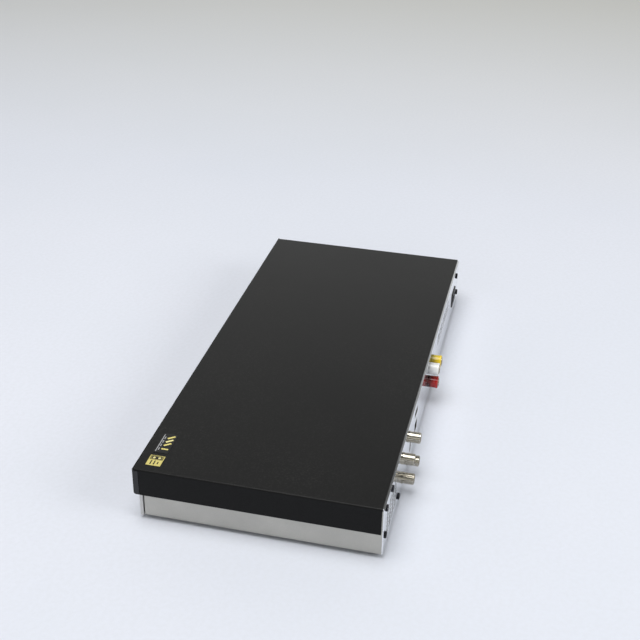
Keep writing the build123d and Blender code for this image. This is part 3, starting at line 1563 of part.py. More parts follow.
with BuildPart() as fan_rotor:
    with BuildSketch(Plane.XZ.offset(-rotor_y1)):
        with Locations((fan_x, fan_z)):
            Circle(fan_hub_radius)
    extrude(amount=rotor_y1 - rotor_y0)
    fillet(fan_rotor.faces().sort_by(Axis.Y)[-1].edges(), corner_round)
    for blade in range(fan_blades):
        around = 360 * blade / fan_blades
        root = Plane(
            origin=(fan_x, (rotor_y0 + rotor_y1) / 2, fan_z),
            x_dir=(0, 1, 0),
            z_dir=(math.cos(math.radians(around)), 0, math.sin(math.radians(around))),
        )
        with BuildSketch(root.offset(fan_hub_radius - blade_root)):
            Rectangle(blade_chord, blade_thick, rotation=blade_tilt)
        extrude(amount=blade_high + blade_root)
fan_rotor.part.label = "fan_rotor"
export_step(fan_rotor.part, "parts/fan_rotor.step")


# Small boards: display and power key boards behind the frame, card board at the flap, drive board
key_board_width = 30.0
small_board_low_z = 25.0
small_board_high_z = 45.0
display_board_ends = (12.0, 8.0)
display_x0 = eject_button_x - display_board_ends[0]
display_x1 = window_x1 + display_board_ends[1]
drive_board_half = 60.0
drive_board_thick = 1.2
drive_board_y1 = drive_back_y - 3.8
drive_board_y0 = drive_board_y1 - 60.0
small_board_mid_z = (small_board_low_z + small_board_high_z) / 2
small_board_height = small_board_high_z - small_board_low_z
card_board_y0 = frame_back_y + gap
card_board_y1 = board_front_y - gap

with BuildPart() as small_boards:
    with BuildSketch(Plane.XZ.offset(-(frame_back_y + board_thick))):
        with Locations(((display_x0 + display_x1) / 2, small_board_mid_z)):
            Rectangle(display_x1 - display_x0, small_board_height)
        with Locations((power_button_x, small_board_mid_z)):
            Rectangle(key_board_width, small_board_height)
    extrude(amount=board_thick)
    with BuildSketch(Plane.XY.offset(board_z)):
        with Locations(((card_board_x0 + card_board_x1) / 2, (card_board_y0 + card_board_y1) / 2)):
            Rectangle(card_board_x1 - card_board_x0, card_board_y1 - card_board_y0)
        with Locations(*card_screws):
            Circle(screw_hole, mode=Mode.SUBTRACT)
    extrude(amount=board_thick)
    with BuildSketch(Plane.XY.offset(drive_low_z)):
        with Locations((drive_x, (drive_board_y0 + drive_board_y1) / 2)):
            Rectangle(2 * drive_board_half, drive_board_y1 - drive_board_y0)
    extrude(amount=-drive_board_thick)
small_boards.part.label = "small_boards"
export_step(small_boards.part, "parts/small_boards.step")


# Display module behind the window, with the remote eye beside it
display_length = 86.0
display_height = 9.5
display_shift = 10.0
display_mid_x = window_mid_x - display_shift
eye_inset = 12.0
eye_x = window_x1 - eye_inset
eye_size = (6.0, 6.5)
display_face_y = front_y + window_thick + seam

with BuildPart() as display_module:
    with BuildSketch(Plane.XZ.offset(-display_face_y)):
        with Locations((display_mid_x, window_mid_z)):
            Rectangle(display_length, display_height)
        with Locations((eye_x, window_mid_z)):
            Rectangle(*eye_size)
    extrude(amount=-(frame_back_y - display_face_y))
display_module.part.label = "display_module"
export_step(display_module.part, "parts/display_module.step")


# Key switches that the two buttons press
switch_size = 6.0
switch_body = 2.8
plunger_radius = 1.7

with BuildPart() as key_switches:
    with BuildSketch(Plane.XZ.offset(-frame_back_y)):
        with Locations(*button_places):
            Rectangle(switch_size, switch_size)
    extrude(amount=switch_body)
    with BuildSketch(Plane.XZ.offset(-frame_back_y)):
        with Locations(*button_places):
            Circle(plunger_radius)
    extrude(amount=switch_height)
key_switches.part.label = "key_switches"
export_step(key_switches.part, "parts/key_switches.step")


# Connectors and stands: moulded blocks on the boards where cables and tall sockets sit
riser_depth = 10.0
plug_height = 6.0
harness_y = strip_y0 + 3.2
disk_cable_gap = 2.3
disk_cable_y = hdd_y1 + disk_cable_gap
plug_edge = 8.0
power_plug = (power_x1 - plug_edge, power_y1 - 26.0)
disk_plug = (board_x1 - plug_edge, board_mid_y + 20.4)
front_plug_y = board_front_y + plug_edge
ribbon_x = drive_x + 64.0
front_ribbon_x = board_x0 + 22.0
plugs = (
    (power_plug[0], power_plug[1], 12.0, 7.0),
    (strip_x0 + 7.0, harness_y - 1.0, 10.0, 5.0),
    (disk_plug[0], disk_plug[1], 5.0, 12.0),
    (ribbon_x, strip_y0 + 6.0, 24.0, 5.0),
    (front_ribbon_x, front_plug_y, 20.0, 5.0),
)
stands = (
    (lan_x, board_top_z, lan_stand, lan_opening[0]),
    (hdmi_x, lan_z + lan_opening[1] / 2, hdmi_riser, hdmi_opening[0]),
)

with BuildPart() as board_connectors:
    for x, y, length, depth in plugs:
        with Locations((x, y, board_top_z)):
            Box(length, depth, plug_height, align=ON_BASE)
    for x, low_z, stand_height, stand_width in stands:
        with Locations((x, panel_y - gap - riser_depth / 2, low_z)):
            Box(stand_width - 2 * shell_wall, riser_depth, stand_height, align=ON_BASE)
board_connectors.part.label = "board_connectors"
export_step(board_connectors.part, "parts/board_connectors.step")


# Cables between the boards: two flat ribbons, the disk cable and the supply harness
ribbon_thick = 0.4
ribbon_width = 18.0
cable_thick = 1.4
cable_width = 8.0
plug_top_z = board_top_z + plug_height
drive_ribbon_y = drive_back_y + strip_gap / 2
ribbon_lap = 8.0
ribbon_bend = 0.7
front_ribbon_bend = 1.0
cable_lap = 4.0
disk_cable_x = hdd_x0 + 14.0
disk_cable_bend = 1.4
harness_bend = 6.0
front_ribbon_z = 23.5
drive_ribbon_z = drive_low_z - drive_board_thick - ribbon_thick / 2

with BuildPart() as flat_cables:
    with BuildSketch(Plane.YZ.offset(ribbon_x - ribbon_width / 2)):
        with BuildLine():
            FilletPolyline(
                (drive_board_y1 - ribbon_lap, drive_ribbon_z),
                (drive_ribbon_y, drive_ribbon_z),
                (drive_ribbon_y, plug_top_z + ribbon_thick / 2),
                (strip_y0 + ribbon_lap, plug_top_z + ribbon_thick / 2),
                radius=ribbon_bend,
            )
        trace(line_width=ribbon_thick)
    extrude(amount=ribbon_width)
    with BuildSketch(Plane.YZ.offset(front_ribbon_x - ribbon_width / 2)):
        with BuildLine():
            FilletPolyline(
                (frame_back_y + board_thick + ribbon_thick / 2, small_board_mid_z),
                (frame_back_y + board_thick + ribbon_thick / 2, front_ribbon_z),
                (front_plug_y, front_ribbon_z),
                (front_plug_y, plug_top_z),
                radius=front_ribbon_bend,
            )
        trace(line_width=ribbon_thick)
    extrude(amount=ribbon_width)
    with BuildSketch(Plane.XY.offset(plug_top_z)):
        with BuildLine():
            FilletPolyline(
                (disk_cable_x, hdd_y1),
                (disk_cable_x, disk_cable_y),
                (disk_plug[0], disk_cable_y),
                (disk_plug[0], disk_plug[1] - cable_lap),
                radius=disk_cable_bend,
            )
        trace(line_width=cable_thick)
    extrude(amount=cable_width)
    with BuildSketch(Plane.XY.offset(plug_top_z)):
        with BuildLine():
            FilletPolyline(
                (power_plug[0], power_plug[1] - cable_lap / 2),
                (power_plug[0], harness_y),
                (strip_x0 + plug_edge, harness_y),
                radius=harness_bend,
            )
        trace(line_width=cable_thick)
    extrude(amount=cable_width)
flat_cables.part.label = "flat_cables"
export_step(flat_cables.part, "parts/flat_cables.step")


# Screws inside: boards, drive and bracket to the chassis, disk to its dampers from below
board_bite = 4.0
short_bite = 2.0
upright_screws = (
    (power_screws + board_screws + card_screws, board_top_z, board_thick + board_bite),
    (drive_screws, drive_low_z + ear_thick, ear_thick + short_bite),
    (bracket_screws, bracket_low_z + sheet, sheet + short_bite),
)
disk_shank = sheet + damper_height + disk_screw_bite

with BuildPart() as inner_screws:
    for places, seat_z, shank in upright_screws:
        with BuildSketch(Plane.XY.offset(seat_z)):
            with Locations(*places):
                Circle(screw_head_radius)
        extrude(amount=screw_head)
        with BuildSketch(Plane.XY.offset(seat_z)):
            with Locations(*places):
                Circle(screw_radius)
        extrude(amount=-shank)
    with BuildSketch(Plane.XY.offset(bracket_low_z)):
        with Locations(*damper_places):
            Circle(screw_head_radius)
    extrude(amount=-screw_head)
    with BuildSketch(Plane.XY.offset(bracket_low_z)):
        with Locations(*damper_places):
            Circle(screw_radius)
    extrude(amount=disk_shank)
inner_screws.part.label = "inner_screws"
export_step(inner_screws.part, "parts/inner_screws.step")
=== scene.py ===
import json
import math

import bmesh
import bpy
from mathutils import Matrix, Vector


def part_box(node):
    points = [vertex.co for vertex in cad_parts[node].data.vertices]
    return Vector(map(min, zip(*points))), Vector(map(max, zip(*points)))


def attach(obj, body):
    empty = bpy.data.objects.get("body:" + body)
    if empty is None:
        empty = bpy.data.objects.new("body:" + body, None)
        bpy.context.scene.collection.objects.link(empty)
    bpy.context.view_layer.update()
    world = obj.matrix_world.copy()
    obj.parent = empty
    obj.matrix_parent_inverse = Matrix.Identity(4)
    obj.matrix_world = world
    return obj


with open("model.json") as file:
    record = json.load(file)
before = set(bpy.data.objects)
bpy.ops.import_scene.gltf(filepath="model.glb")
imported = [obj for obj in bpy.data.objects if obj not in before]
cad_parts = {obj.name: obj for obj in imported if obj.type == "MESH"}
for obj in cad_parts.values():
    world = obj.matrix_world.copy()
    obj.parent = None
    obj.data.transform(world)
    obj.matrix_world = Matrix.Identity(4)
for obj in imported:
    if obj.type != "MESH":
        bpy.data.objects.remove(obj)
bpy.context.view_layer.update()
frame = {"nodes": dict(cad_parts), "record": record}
nodes = frame["nodes"]
slot_of = {row["node"]: row["material_slot"] for row in frame["record"]["subparts"]}
scene = bpy.context.scene
MM = 0.001
SHARP_ANGLE = math.radians(35)


# Places of the rear sockets, in millimetres, from the frame

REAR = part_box("rear_panel")[1][1] / MM
AERIAL_RADIUS = 4.75
AERIAL_STAGGER = 5.0
NETWORK_FROM_BOARD_END = 35.0
NETWORK_FLOOR_OVER_BOARD = 3.9


def middle_of(node_name):
    """X and Z of a node's middle, in millimetres."""
    low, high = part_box(node_name)
    return (low[0] + high[0]) / 2 / MM, (low[2] + high[2]) / 2 / MM


def aerial_places():
    """X and Z of the four aerial sockets; the upper near one stands a little further out."""
    low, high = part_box("aerial_sockets")
    left, right = low[0] / MM + AERIAL_RADIUS, high[0] / MM - AERIAL_RADIUS
    bottom, top = low[2] / MM + AERIAL_RADIUS, high[2] / MM - AERIAL_RADIUS
    return (left, bottom), (left, top), (right - AERIAL_STAGGER, bottom), (right, top)


def network_place():
    """X of the network socket's middle and Z of its floor; the socket stands on the main board."""
    board_end, _, board_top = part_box("main_board")[1]
    return board_end / MM - NETWORK_FROM_BOARD_END, board_top / MM + NETWORK_FLOOR_OVER_BOARD


# Colours

def linear(red, green, blue):
    """A colour as the eye reads it, from 0 to 255, as the shader's linear values."""
    values = []
    for level in (red, green, blue):
        part = level / 255
        values.append(part / 12.92 if part <= 0.04045 else ((part + 0.055) / 1.055) ** 2.4)
    return (*values, 1.0)


DUST_ON_PLASTIC = linear(176, 172, 165)
DUST_ON_PAINT = linear(150, 148, 144)
BARE_PAINT_EDGE = linear(60, 60, 62)
SOLDER = linear(190, 188, 176)


# Node groups that several finishes share

def new_group(name, inputs, outputs):
    """A shader node group: inputs are (name, kind, value) and outputs are (name, kind)."""
    group = bpy.data.node_groups.new(name, "ShaderNodeTree")
    for label, kind, value in inputs:
        socket = group.interface.new_socket(label, in_out="INPUT", socket_type="NodeSocket" + kind)
        socket.default_value = value
    for label, kind in outputs:
        group.interface.new_socket(label, in_out="OUTPUT", socket_type="NodeSocket" + kind)
    return group, group.nodes.new("NodeGroupInput"), group.nodes.new("NodeGroupOutput")


def add_noise(tree, vector, scale, detail=3.0, roughness=0.55):
    """A noise texture on a vector, at a scale that is a number or a socket."""
    noise = tree.nodes.new("ShaderNodeTexNoise")
    noise.inputs["Detail"].default_value = detail
    noise.inputs["Roughness"].default_value = roughness
    tree.links.new(vector, noise.inputs["Vector"])
    if isinstance(scale, (int, float)):
        noise.inputs["Scale"].default_value = scale
    else:
        tree.links.new(scale, noise.inputs["Scale"])
    return noise.outputs["Fac"]


def add_range(tree, value, low, high, to_low=0.0, to_high=1.0):
    """A value stretched from one range to another and held inside it."""
    node = tree.nodes.new("ShaderNodeMapRange")
    tree.links.new(value, node.inputs["Value"])
    for label, number in (("From Min", low), ("From Max", high), ("To Min", to_low), ("To Max", to_high)):
        if isinstance(number, (int, float)):
            node.inputs[label].default_value = number
        else:
            tree.links.new(number, node.inputs[label])
    return node.outputs["Result"]


def add_math(tree, operation, first, second):
    """One sum of two values, each a number or a socket."""
    node = tree.nodes.new("ShaderNodeMath")
    node.operation = operation
    for socket, value in zip(node.inputs, (first, second)):
        if isinstance(value, (int, float)):
            socket.default_value = value
        else:
            tree.links.new(value, socket)
    return node.outputs["Value"]


def object_place(tree):
    """The place of a point in its object, which is its place in the recorder's frame."""
    return tree.nodes.new("ShaderNodeTexCoord").outputs["Object"]


def grain_group():
    """Fine even grain of moulded plastic or textured paint."""
    group, inside, outside = new_group(
        "fine_grain", [("Scale", "Float", 2000.0)], [("Height", "Float"), ("Speck", "Float")]
    )
    place = object_place(group)
    fine = add_noise(group, place, inside.outputs["Scale"], 2.0)
    group.links.new(fine, outside.inputs["Height"])
    group.links.new(add_range(group, fine, 0.35, 0.65), outside.inputs["Speck"])
    return group


def brushed_group():
    """Long fine lines of rolled or brushed sheet, along the direction with the small stretch."""
    group, inside, outside = new_group(
        "rolled_lines",
        [("Stretch", "Vector", (1.0, 60.0, 60.0)), ("Scale", "Float", 30.0)],
        [("Line", "Float")],
    )
    mapping = group.nodes.new("ShaderNodeMapping")
    group.links.new(object_place(group), mapping.inputs["Vector"])
    group.links.new(inside.outputs["Stretch"], mapping.inputs["Scale"])
    line = add_noise(group, mapping.outputs["Vector"], inside.outputs["Scale"], 4.0)
    group.links.new(line, outside.inputs["Line"])
    return group


def cloud_group():
    """Broad soft patches, for handling marks and uneven gloss."""
    group, inside, outside = new_group(
        "soft_patches",
        [("Scale", "Float", 12.0), ("Low", "Float", 0.4), ("High", "Float", 0.65)],
        [("Patch", "Float")],
    )
    cloud = add_noise(group, object_place(group), inside.outputs["Scale"], 5.0, 0.6)
    patch = add_range(group, cloud, inside.outputs["Low"], inside.outputs["High"])
    group.links.new(patch, outside.inputs["Patch"])
    return group


def dust_group():
    """A light settling of dust on faces that look up."""
    group, inside, outside = new_group(
        "settled_dust", [("Amount", "Float", 0.1), ("Scale", "Float", 400.0)], [("Dust", "Float")]
    )
    normal = group.nodes.new("ShaderNodeNewGeometry").outputs["Normal"]
    split = group.nodes.new("ShaderNodeSeparateXYZ")
    group.links.new(normal, split.inputs["Vector"])
    upward = add_range(group, split.outputs["Z"], 0.3, 0.95)
    place = object_place(group)
    specks = add_range(group, add_noise(group, place, inside.outputs["Scale"], 3.0), 0.5, 0.72)
    patches = add_range(group, add_noise(group, place, 9.0, 4.0), 0.3, 0.75)
    lying = add_math(group, "MULTIPLY", add_math(group, "MULTIPLY", upward, specks), patches)
    group.links.new(add_math(group, "MULTIPLY", lying, inside.outputs["Amount"]), outside.inputs["Dust"])
    return group


def edge_group():
    """How close a point is to a sharp edge, and a normal that rounds that edge."""
    group, inside, outside = new_group(
        "worn_edge", [("Radius", "Float", 0.0004)], [("Edge", "Float"), ("Normal", "Vector")]
    )
    bevel = group.nodes.new("ShaderNodeBevel")
    bevel.samples = 4
    group.links.new(inside.outputs["Radius"], bevel.inputs["Radius"])
    flat = group.nodes.new("ShaderNodeNewGeometry").outputs["Normal"]
    dot = group.nodes.new("ShaderNodeVectorMath")
    dot.operation = "DOT_PRODUCT"
    group.links.new(bevel.outputs["Normal"], dot.inputs[0])
    group.links.new(flat, dot.inputs[1])
    group.links.new(add_range(group, dot.outputs["Value"], 0.995, 0.8), outside.inputs["Edge"])
    group.links.new(bevel.outputs["Normal"], outside.inputs["Normal"])
    return group


def track_group():
    """Copper tracks and pads of a circuit board."""
    group, inside, outside = new_group(
        "board_tracks", [("Scale", "Float", 220.0)], [("Track", "Float"), ("Pad", "Float")]
    )
    place = object_place(group)
    bricks = group.nodes.new("ShaderNodeTexBrick")
    bricks.inputs["Mortar Size"].default_value = 0.028
    bricks.inputs["Brick Width"].default_value = 0.9
    bricks.inputs["Row Height"].default_value = 0.22
    group.links.new(place, bricks.inputs["Vector"])
    group.links.new(inside.outputs["Scale"], bricks.inputs["Scale"])
    cells = group.nodes.new("ShaderNodeTexVoronoi")
    group.links.new(place, cells.inputs["Vector"])
    group.links.new(inside.outputs["Scale"], cells.inputs["Scale"])
    group.links.new(bricks.outputs["Fac"], outside.inputs["Track"])
    group.links.new(add_range(group, cells.outputs["Distance"], 0.16, 0.12), outside.inputs["Pad"])
    return group


def mark_group():
    """A printed mark: 1 inside a box on the ground plane that is turned about its middle."""
    group, inside, outside = new_group(
        "printed_mark",
        [
            ("Middle", "Vector", (0.0, 0.0, 0.0)),
            ("Half", "Vector", (0.001, 0.001, 0.0)),
            ("Turn", "Float", 0.0),
        ],
        [("Mark", "Float")],
    )
    rotate = group.nodes.new("ShaderNodeVectorRotate")
    rotate.rotation_type = "Z_AXIS"
    group.links.new(object_place(group), rotate.inputs["Vector"])
    group.links.new(inside.outputs["Middle"], rotate.inputs["Center"])
    group.links.new(inside.outputs["Turn"], rotate.inputs["Angle"])
    away = group.nodes.new("ShaderNodeVectorMath")
    away.operation = "SUBTRACT"
    group.links.new(rotate.outputs["Vector"], away.inputs[0])
    group.links.new(inside.outputs["Middle"], away.inputs[1])
    apart = group.nodes.new("ShaderNodeVectorMath")
    apart.operation = "ABSOLUTE"
    group.links.new(away.outputs["Vector"], apart.inputs[0])
    place = group.nodes.new("ShaderNodeSeparateXYZ")
    group.links.new(apart.outputs["Vector"], place.inputs["Vector"])
    half = group.nodes.new("ShaderNodeSeparateXYZ")
    group.links.new(inside.outputs["Half"], half.inputs["Vector"])
    in_x = add_math(group, "LESS_THAN", place.outputs["X"], half.outputs["X"])
    in_y = add_math(group, "LESS_THAN", place.outputs["Y"], half.outputs["Y"])
    group.links.new(add_math(group, "MULTIPLY", in_x, in_y), outside.inputs["Mark"])
    return group


def depth_group():
    """How far a point lies along Y between two places, from 0 to 1."""
    group, inside, outside = new_group(
        "depth_ramp", [("Start", "Float", 0.0), ("End", "Float", 1.0)], [("Depth", "Float")]
    )
    place = group.nodes.new("ShaderNodeSeparateXYZ")
    group.links.new(object_place(group), place.inputs["Vector"])
    ramp = add_range(group, place.outputs["Y"], inside.outputs["Start"], inside.outputs["End"])
    group.links.new(ramp, outside.inputs["Depth"])
    return group


GRAIN = grain_group()
BRUSHED = brushed_group()
CLOUD = cloud_group()
DUST = dust_group()
EDGE = edge_group()
TRACKS = track_group()
MARK = mark_group()
DEPTH = depth_group()


# Materials

class Finish:
    """A material under way: its tree, its shader and the few steps that every finish here takes."""

    def __init__(self, name, **constants):
        self.material = bpy.data.materials.new(name)
        self.material.use_nodes = True
        self.tree = self.material.node_tree
        self.shader = self.tree.nodes["Principled BSDF"]
        for label, value in constants.items():
            self.shader.inputs[label.replace("_", " ")].default_value = value

    def group(self, group, **values):
        node = self.tree.nodes.new("ShaderNodeGroup")
        node.node_tree = group
        for label, value in values.items():
            node.inputs[label].default_value = value
        return node.outputs

    def blend(self, factor, first, second):
        """A colour between two, each a colour or a socket."""
        mix = self.tree.nodes.new("ShaderNodeMix")
        mix.data_type = "RGBA"
        self.tree.links.new(factor, mix.inputs["Factor"])
        for label, value in (("A", first), ("B", second)):
            socket = [s for s in mix.inputs if s.name == label and s.type == "RGBA"][0]
            if isinstance(value, tuple):
                socket.default_value = value
            else:
                self.tree.links.new(value, socket)
        return [s for s in mix.outputs if s.type == "RGBA"][0]

    def range(self, value, low, high, to_low=0.0, to_high=1.0):
        return add_range(self.tree, value, low, high, to_low, to_high)

    def set(self, **sockets):
        for label, socket in sockets.items():
            self.tree.links.new(socket, self.shader.inputs[label.replace("_", " ")])
        return self

    def bump(self, height, strength, distance, normal=None):
        node = self.tree.nodes.new("ShaderNodeBump")
        node.inputs["Strength"].default_value = strength
        node.inputs["Distance"].default_value = distance
        self.tree.links.new(height, node.inputs["Height"])
        if normal is not None:
            self.tree.links.new(normal, node.inputs["Normal"])
        self.tree.links.new(node.outputs["Normal"], self.shader.inputs["Normal"])
        return self


def moulded(name, color, worn, rough, grain=1800.0, depth=0.00002, edge=0.0004, dust=0.05, **constants):
    """Moulded plastic or rubber: fine grain, uneven gloss, paler soft edges and a little dust."""
    f = Finish(name, **constants)
    grains = f.group(GRAIN, Scale=grain)
    patch = f.group(CLOUD, Scale=18.0)["Patch"]
    rim = f.group(EDGE, Radius=edge)
    lying = f.group(DUST, Amount=dust)["Dust"]
    tinted = f.blend(f.range(grains["Speck"], 0.0, 1.0, 0.0, 0.5), color, worn)
    edged = f.blend(f.range(rim["Edge"], 0.0, 1.0, 0.0, 0.6), tinted, worn)
    f.set(Base_Color=f.blend(lying, edged, DUST_ON_PLASTIC))
    f.set(Roughness=f.range(patch, 0.0, 1.0, rough - 0.05, rough + 0.06))
    return f.bump(grains["Height"], 0.35, depth, rim["Normal"])


def sheet_metal(
    name, color, dull, rough, stretch=(1.0, 60.0, 60.0), depth=0.000006, edge=0.0003, **constants
):
    """Rolled or plated metal: fine lines, uneven dull patches and bright soft edges."""
    f = Finish(name, Metallic=1.0, **constants)
    line = f.group(BRUSHED, Stretch=stretch)["Line"]
    patch = f.group(CLOUD, Scale=14.0)["Patch"]
    rim = f.group(EDGE, Radius=edge)
    body = f.blend(f.range(patch, 0.0, 1.0, 0.0, 0.7), color, dull)
    streaked = f.blend(f.range(line, 0.35, 0.65, 0.0, 0.35), body, dull)
    f.set(Base_Color=streaked)
    f.set(Roughness=f.range(line, 0.3, 0.7, rough - 0.06, rough + 0.08))
    return f.bump(line, 0.3, depth, rim["Normal"])


def cover_paint():
    """Matt black powder paint with a fine texture, a little polished by hands and dusty on top."""
    f = Finish("cover_paint", IOR=1.5, Specular_IOR_Level=0.13, Coat_Roughness=0.37)
    facing = f.tree.nodes.new("ShaderNodeSeparateXYZ")
    f.tree.links.new(f.tree.nodes.new("ShaderNodeNewGeometry").outputs["Normal"], facing.inputs["Vector"])
    f.set(Coat_Weight=f.range(facing.outputs["Z"], 0.9, 0.99, 0.0, 0.31))
    grains = f.group(GRAIN, Scale=1500.0)
    patch = f.group(CLOUD, Scale=7.0, Low=0.35, High=0.7)["Patch"]
    rim = f.group(EDGE, Radius=0.0006)
    lying = f.group(DUST, Amount=0.05, Scale=700.0)["Dust"]
    black = f.blend(grains["Speck"], linear(13, 13, 13), linear(22, 22, 22))
    edged = f.blend(f.range(rim["Edge"], 0.0, 1.0, 0.0, 0.12), black, BARE_PAINT_EDGE)
    f.set(Base_Color=f.blend(lying, edged, DUST_ON_PAINT))
    f.set(Roughness=f.range(patch, 0.0, 1.0, 0.34, 0.41))
    return f.bump(grains["Height"], 0.4, 0.00002, rim["Normal"])


def circuit(name, mask, mask_dark, copper):
    """A circuit board: solder mask over tracks, with tinned pads."""
    f = Finish(name, Roughness=0.4)
    tracks = f.group(TRACKS, Scale=160.0)
    patch = f.group(CLOUD, Scale=30.0)["Patch"]
    base = f.blend(patch, mask, mask_dark)
    lined = f.blend(f.range(tracks["Track"], 0.0, 1.0, 0.0, 0.7), base, copper)
    f.set(Base_Color=f.blend(f.range(tracks["Pad"], 0.0, 1.0, 0.0, 0.8), lined, SOLDER))
    return f.bump(tracks["Track"], 0.3, 0.00003)


def smoked_glass():
    """Dark tinted clear plastic of the display window."""
    f = Finish("smoked", Base_Color=linear(12, 12, 15), IOR=1.49, Coat_Weight=0.4)
    patch = f.group(CLOUD, Scale=22.0, Low=0.45, High=0.8)["Patch"]
    f.set(Roughness=f.range(patch, 0.0, 1.0, 0.06, 0.14))
    tint = f.blend(f.range(patch, 0.0, 1.0, 0.0, 0.5), linear(10, 10, 13), linear(16, 16, 20))
    return f.set(Base_Color=tint)


def coated_lens():
    """Clear pickup lens with a bluish coating."""
    f = Finish("lens", Transmission_Weight=0.8, IOR=1.5)
    patch = f.group(CLOUD, Scale=300.0)["Patch"]
    f.set(Base_Color=f.blend(patch, linear(140, 160, 235), linear(190, 150, 230)))
    return f.set(Roughness=f.range(patch, 0.0, 1.0, 0.02, 0.06))


def foil(name, color, second, metallic, rough):
    """Sticker foil: a light sheen that changes in soft patches."""
    f = Finish(name, Metallic=metallic)
    line = f.group(BRUSHED, Stretch=(80.0, 2.0, 80.0), Scale=40.0)["Line"]
    grains = f.group(GRAIN, Scale=2500.0)
    f.set(Base_Color=f.blend(f.range(line, 0.3, 0.7), color, second))
    f.set(Roughness=f.range(grains["Speck"], 0.0, 1.0, rough - 0.05, rough + 0.05))
    return f.bump(grains["Height"], 0.2, 0.00001)


def collar_plastic(name, painted_shade_root, tip, worn):
    """Glossy coloured plastic of a socket's collar, darker towards the panel by painted shade."""
    f = Finish(name, Coat_Weight=0.25)
    # Painted shade: the depth ramp darkens the collar's colour from its tip towards the panel, where the jack
    # lies in shade
    depth = f.group(DEPTH, Start=(REAR + 1.15) * MM, End=(REAR + 8.15) * MM)["Depth"]
    grains = f.group(GRAIN, Scale=2400.0)
    patch = f.group(CLOUD, Scale=160.0)["Patch"]
    rim = f.group(EDGE, Radius=0.0003)
    body = f.blend(depth, painted_shade_root, tip)
    tinted = f.blend(f.range(patch, 0.0, 1.0, 0.0, 0.3), body, worn)
    f.set(Base_Color=f.blend(f.range(rim["Edge"], 0.0, 1.0, 0.0, 0.5), tinted, worn))
    f.set(Roughness=f.range(patch, 0.0, 1.0, 0.2, 0.34))
    return f.bump(grains["Height"], 0.2, 0.00001, rim["Normal"])


def printed_foil(node_name, name, color, second, metallic, rough, marks):
    """Sticker foil with a generic print of marks, placed from the corner of the sticker's node."""
    f = foil(name, color, second, metallic, rough)
    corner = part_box(node_name)[0]
    shade = f.shader.inputs["Base Color"].links[0].from_socket
    for middle, half, turned, ink in marks:
        spot = (corner[0] + middle[0] * MM, corner[1] + middle[1] * MM, 0.0)
        size = (half[0] * MM, half[1] * MM, 0.0)
        mark = f.group(MARK, Middle=spot, Half=size, Turn=turned)["Mark"]
        shade = f.blend(mark, shade, ink)
    return f.set(Base_Color=shade)


def winding():
    """Taped winding of the transformer and its ferrite core."""
    f = Finish("winding")
    line = f.group(BRUSHED, Stretch=(2.0, 2.0, 90.0), Scale=20.0)["Line"]
    grains = f.group(GRAIN, Scale=900.0)
    f.set(Base_Color=f.blend(f.range(line, 0.4, 0.6), linear(196, 160, 60), linear(90, 62, 30)))
    f.set(Roughness=f.range(grains["Speck"], 0.0, 1.0, 0.4, 0.6))
    return f.bump(line, 0.4, 0.0001)


# Prints of the two stickers: each mark is its middle and half size, in millimetres from the sticker's
# front left corner, its turn in radians and its ink

GOLD = linear(226, 212, 128)
PALE_GOLD = linear(238, 228, 160)
INK = linear(34, 32, 28)
SILVER = linear(168, 168, 170)
UPRIGHT = 0.0
DIAMOND = math.radians(45)
LEANING = 0.9

# The gold sticker: a dark block in a gold frame with two diamonds, beside a gold field with three ink bars
gold_marks = (
    ((3.0, 6.0), (2.6, 5.3), UPRIGHT, INK),
    ((3.0, 6.0), (2.1, 4.8), UPRIGHT, GOLD),
    ((3.0, 6.0), (1.8, 4.5), UPRIGHT, INK),
    ((3.0, 3.8), (1.0, 1.0), DIAMOND, PALE_GOLD),
    ((3.0, 8.2), (1.0, 1.0), DIAMOND, PALE_GOLD),
    ((9.2, 3.2), (2.6, 0.5), UPRIGHT, INK),
    ((9.2, 6.0), (2.6, 0.5), UPRIGHT, INK),
    ((9.2, 8.8), (1.4, 0.5), UPRIGHT, INK),
)
# The black sticker: three leaning gold bars and an upright one, over a dashed and a plain silver line
black_marks = (
    ((4.6, 7.8), (3.2, 0.9), LEANING, GOLD),
    ((9.4, 7.8), (3.2, 0.9), LEANING, PALE_GOLD),
    ((14.2, 7.8), (3.2, 0.9), LEANING, GOLD),
    ((20.6, 7.8), (0.8, 2.8), UPRIGHT, GOLD),
    ((13.0, 1.4), (11.6, 0.35), UPRIGHT, SILVER),
    *(((6.0 + 5.0 * turn, 3.0), (1.7, 0.4), UPRIGHT, SILVER) for turn in range(4)),
)

EVEN = (20.0, 20.0, 20.0)
ROUND_Y = (30.0, 1.0, 30.0)

